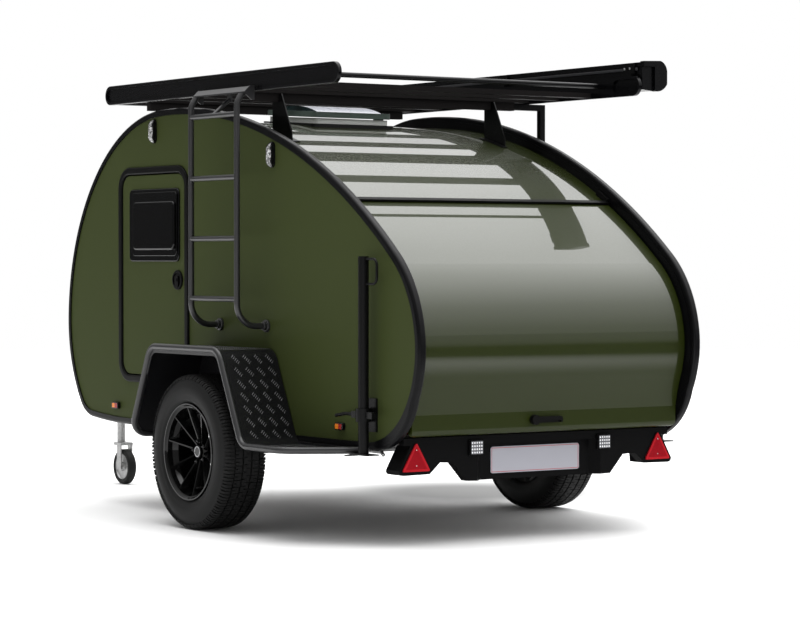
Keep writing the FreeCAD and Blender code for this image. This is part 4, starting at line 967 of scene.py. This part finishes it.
tinted_lid = coated("tinted_lid", (0.12, 0.16, 0.14), 0.30, 30.0, 0.03, spread=0.03,
                    Specular_IOR_Level=0.3, Coat_Weight=0.15)
tree = tinted_lid.node_tree
faces_up = add(tree, "SeparateXYZ", add(tree, "NewGeometry").outputs["Normal"]).outputs["Z"]
# painted reflection: faces that look up are painted pale
recolour(tinted_lid, math_node(tree, "GREATER_THAN", faces_up, FACES_UP), (0.33, 0.34, 0.38))
# painted shade: the upright ends above the flange are painted dark green
above_flange = math_node(tree, "GREATER_THAN", above_edge(tree), FLANGE_TOP)
upright = math_node(tree, "LESS_THAN", faces_up, UPRIGHT)
recolour(tinted_lid, math_node(tree, "MULTIPLY", above_flange, upright), (0.008, 0.020, 0.019))
give_finish("skylight_lid", tinted_lid)

frame_paint = coated("skylight_frame_paint", (0.84, 0.86, 0.82), 0.40, 1.5, 0.01, spread=0.03, dust=0.06)
seal = math_node(frame_paint.node_tree, "LESS_THAN", above_edge(frame_paint.node_tree), SEAL_TOP)
recolour(frame_paint, seal, (0.006, 0.006, 0.006))
give_finish("skylight_frame", frame_paint)
print("skylight leans", round(math.degrees(SKYLIGHT_LEAN), 1), "degrees")

# %% [markdown]
# ## Bolts and screws
# Domed heads hold the awning brackets, and small ones the triangular reflectors. One head is a
# cylinder whose top is extruded and drawn in twice, and a copy stands on each fitting.

# %% One domed head
HEAD_R = 0.0075
HEAD_RISE = 0.0045
HEAD_RIM_SHARE = 0.45      # of the rise
HEAD_STEP_SHARE = 0.27
HEAD_SHARES = (0.78, 0.45)  # width that each step leaves


def bolt_heads(name, spots, direction, scale=1.0, mirror=True):
    """Copies of a domed head at each spot, and the same on the other side where it is asked for."""
    rim_z = HEAD_RISE * HEAD_RIM_SHARE * scale
    head = cylinder("bolt_head", HEAD_R * scale, (0, 0, -0.001), (0, 0, rim_z), 20)
    for share in HEAD_SHARES:
        start_editing(head)
        top = max(corner.co.z for corner in head.data.vertices)
        pick_faces(head, lambda middle, normal: normal.z > 0.9 and middle.z > top - 1e-5)
        bpy.ops.mesh.extrude_region_move(
            TRANSFORM_OT_translate={"value": (0, 0, HEAD_RISE * HEAD_STEP_SHARE * scale)})
        bpy.ops.transform.resize(value=(share, share, 1), center_override=(0, 0, 0))
        bpy.ops.object.mode_set(mode="OBJECT")
    places = [facing(spot, direction) for spot in spots]
    if mirror:
        flipped = Matrix.Diagonal((1, -1, 1, 1))
        places += [flipped @ place for place in places]
    return copies(name, head, places)


# %% Screws of the triangular reflectors
TRIANGLE_SCREW_ZS = (0.371, 0.441)
SCREW_SCALE = 0.45
screw_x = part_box("rear_reflectors")[0].x + 0.0015
screw_spots = [(screw_x, TRIANGLE_MIDDLE_Y, z) for z in TRIANGLE_SCREW_ZS]
screws = bolt_heads("reflector_screws", screw_spots, (-1, 0, 0), SCREW_SCALE)
finish_piece(screws, "trailer", bright_metal)

# %% Bolts of the awning brackets
BRACKET_BOLT_XS = (-1.525, -1.484, -0.488, -0.447, 0.462, 0.503)
BRACKET_BOLT_Y = -0.894
BRACKET_BOLT_Z = 2.217
BOLT_SCALE = 0.8
bracket_spots = [(x, BRACKET_BOLT_Y, BRACKET_BOLT_Z) for x in BRACKET_BOLT_XS]
bracket_bolts = bolt_heads("bracket_bolts", bracket_spots, (0, 1, 0), BOLT_SCALE, mirror=False)
finish_piece(bracket_bolts, "trailer", bright_metal)

# %% [markdown]
# ## Awning ribs
# The awning's case is an extrusion with ribs along its inner face. Each rib is a long low cube
# with softened edges, sunk a little into the case.

# %% Two ribs
RIB_ZS = (2.142, 2.214)
RIB_HALF = 0.0065
RIB_RISE = 0.0014
RIB_SUNK = 0.002
RIB_END = 0.05
awning_low, awning_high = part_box("awning_cassette")
ribs = []
for z in RIB_ZS:
    rib = cube("awning_rib", (awning_low.x + RIB_END, awning_high.y - RIB_SUNK, z - RIB_HALF),
               (awning_high.x - RIB_END, awning_high.y + RIB_RISE, z + RIB_HALF))
    soften(rib, 0.0006)
    ribs.append(rib)
# painted highlight: the ribs take a lighter grey than the case they are part of
rib_painted_highlight = coated("rib_painted_highlight", (0.030, 0.030, 0.033), 0.45, 0.9, 0.012, Specular_IOR_Level=0.4)
finish_piece(join("awning_ribs", ribs), "trailer", rib_painted_highlight)
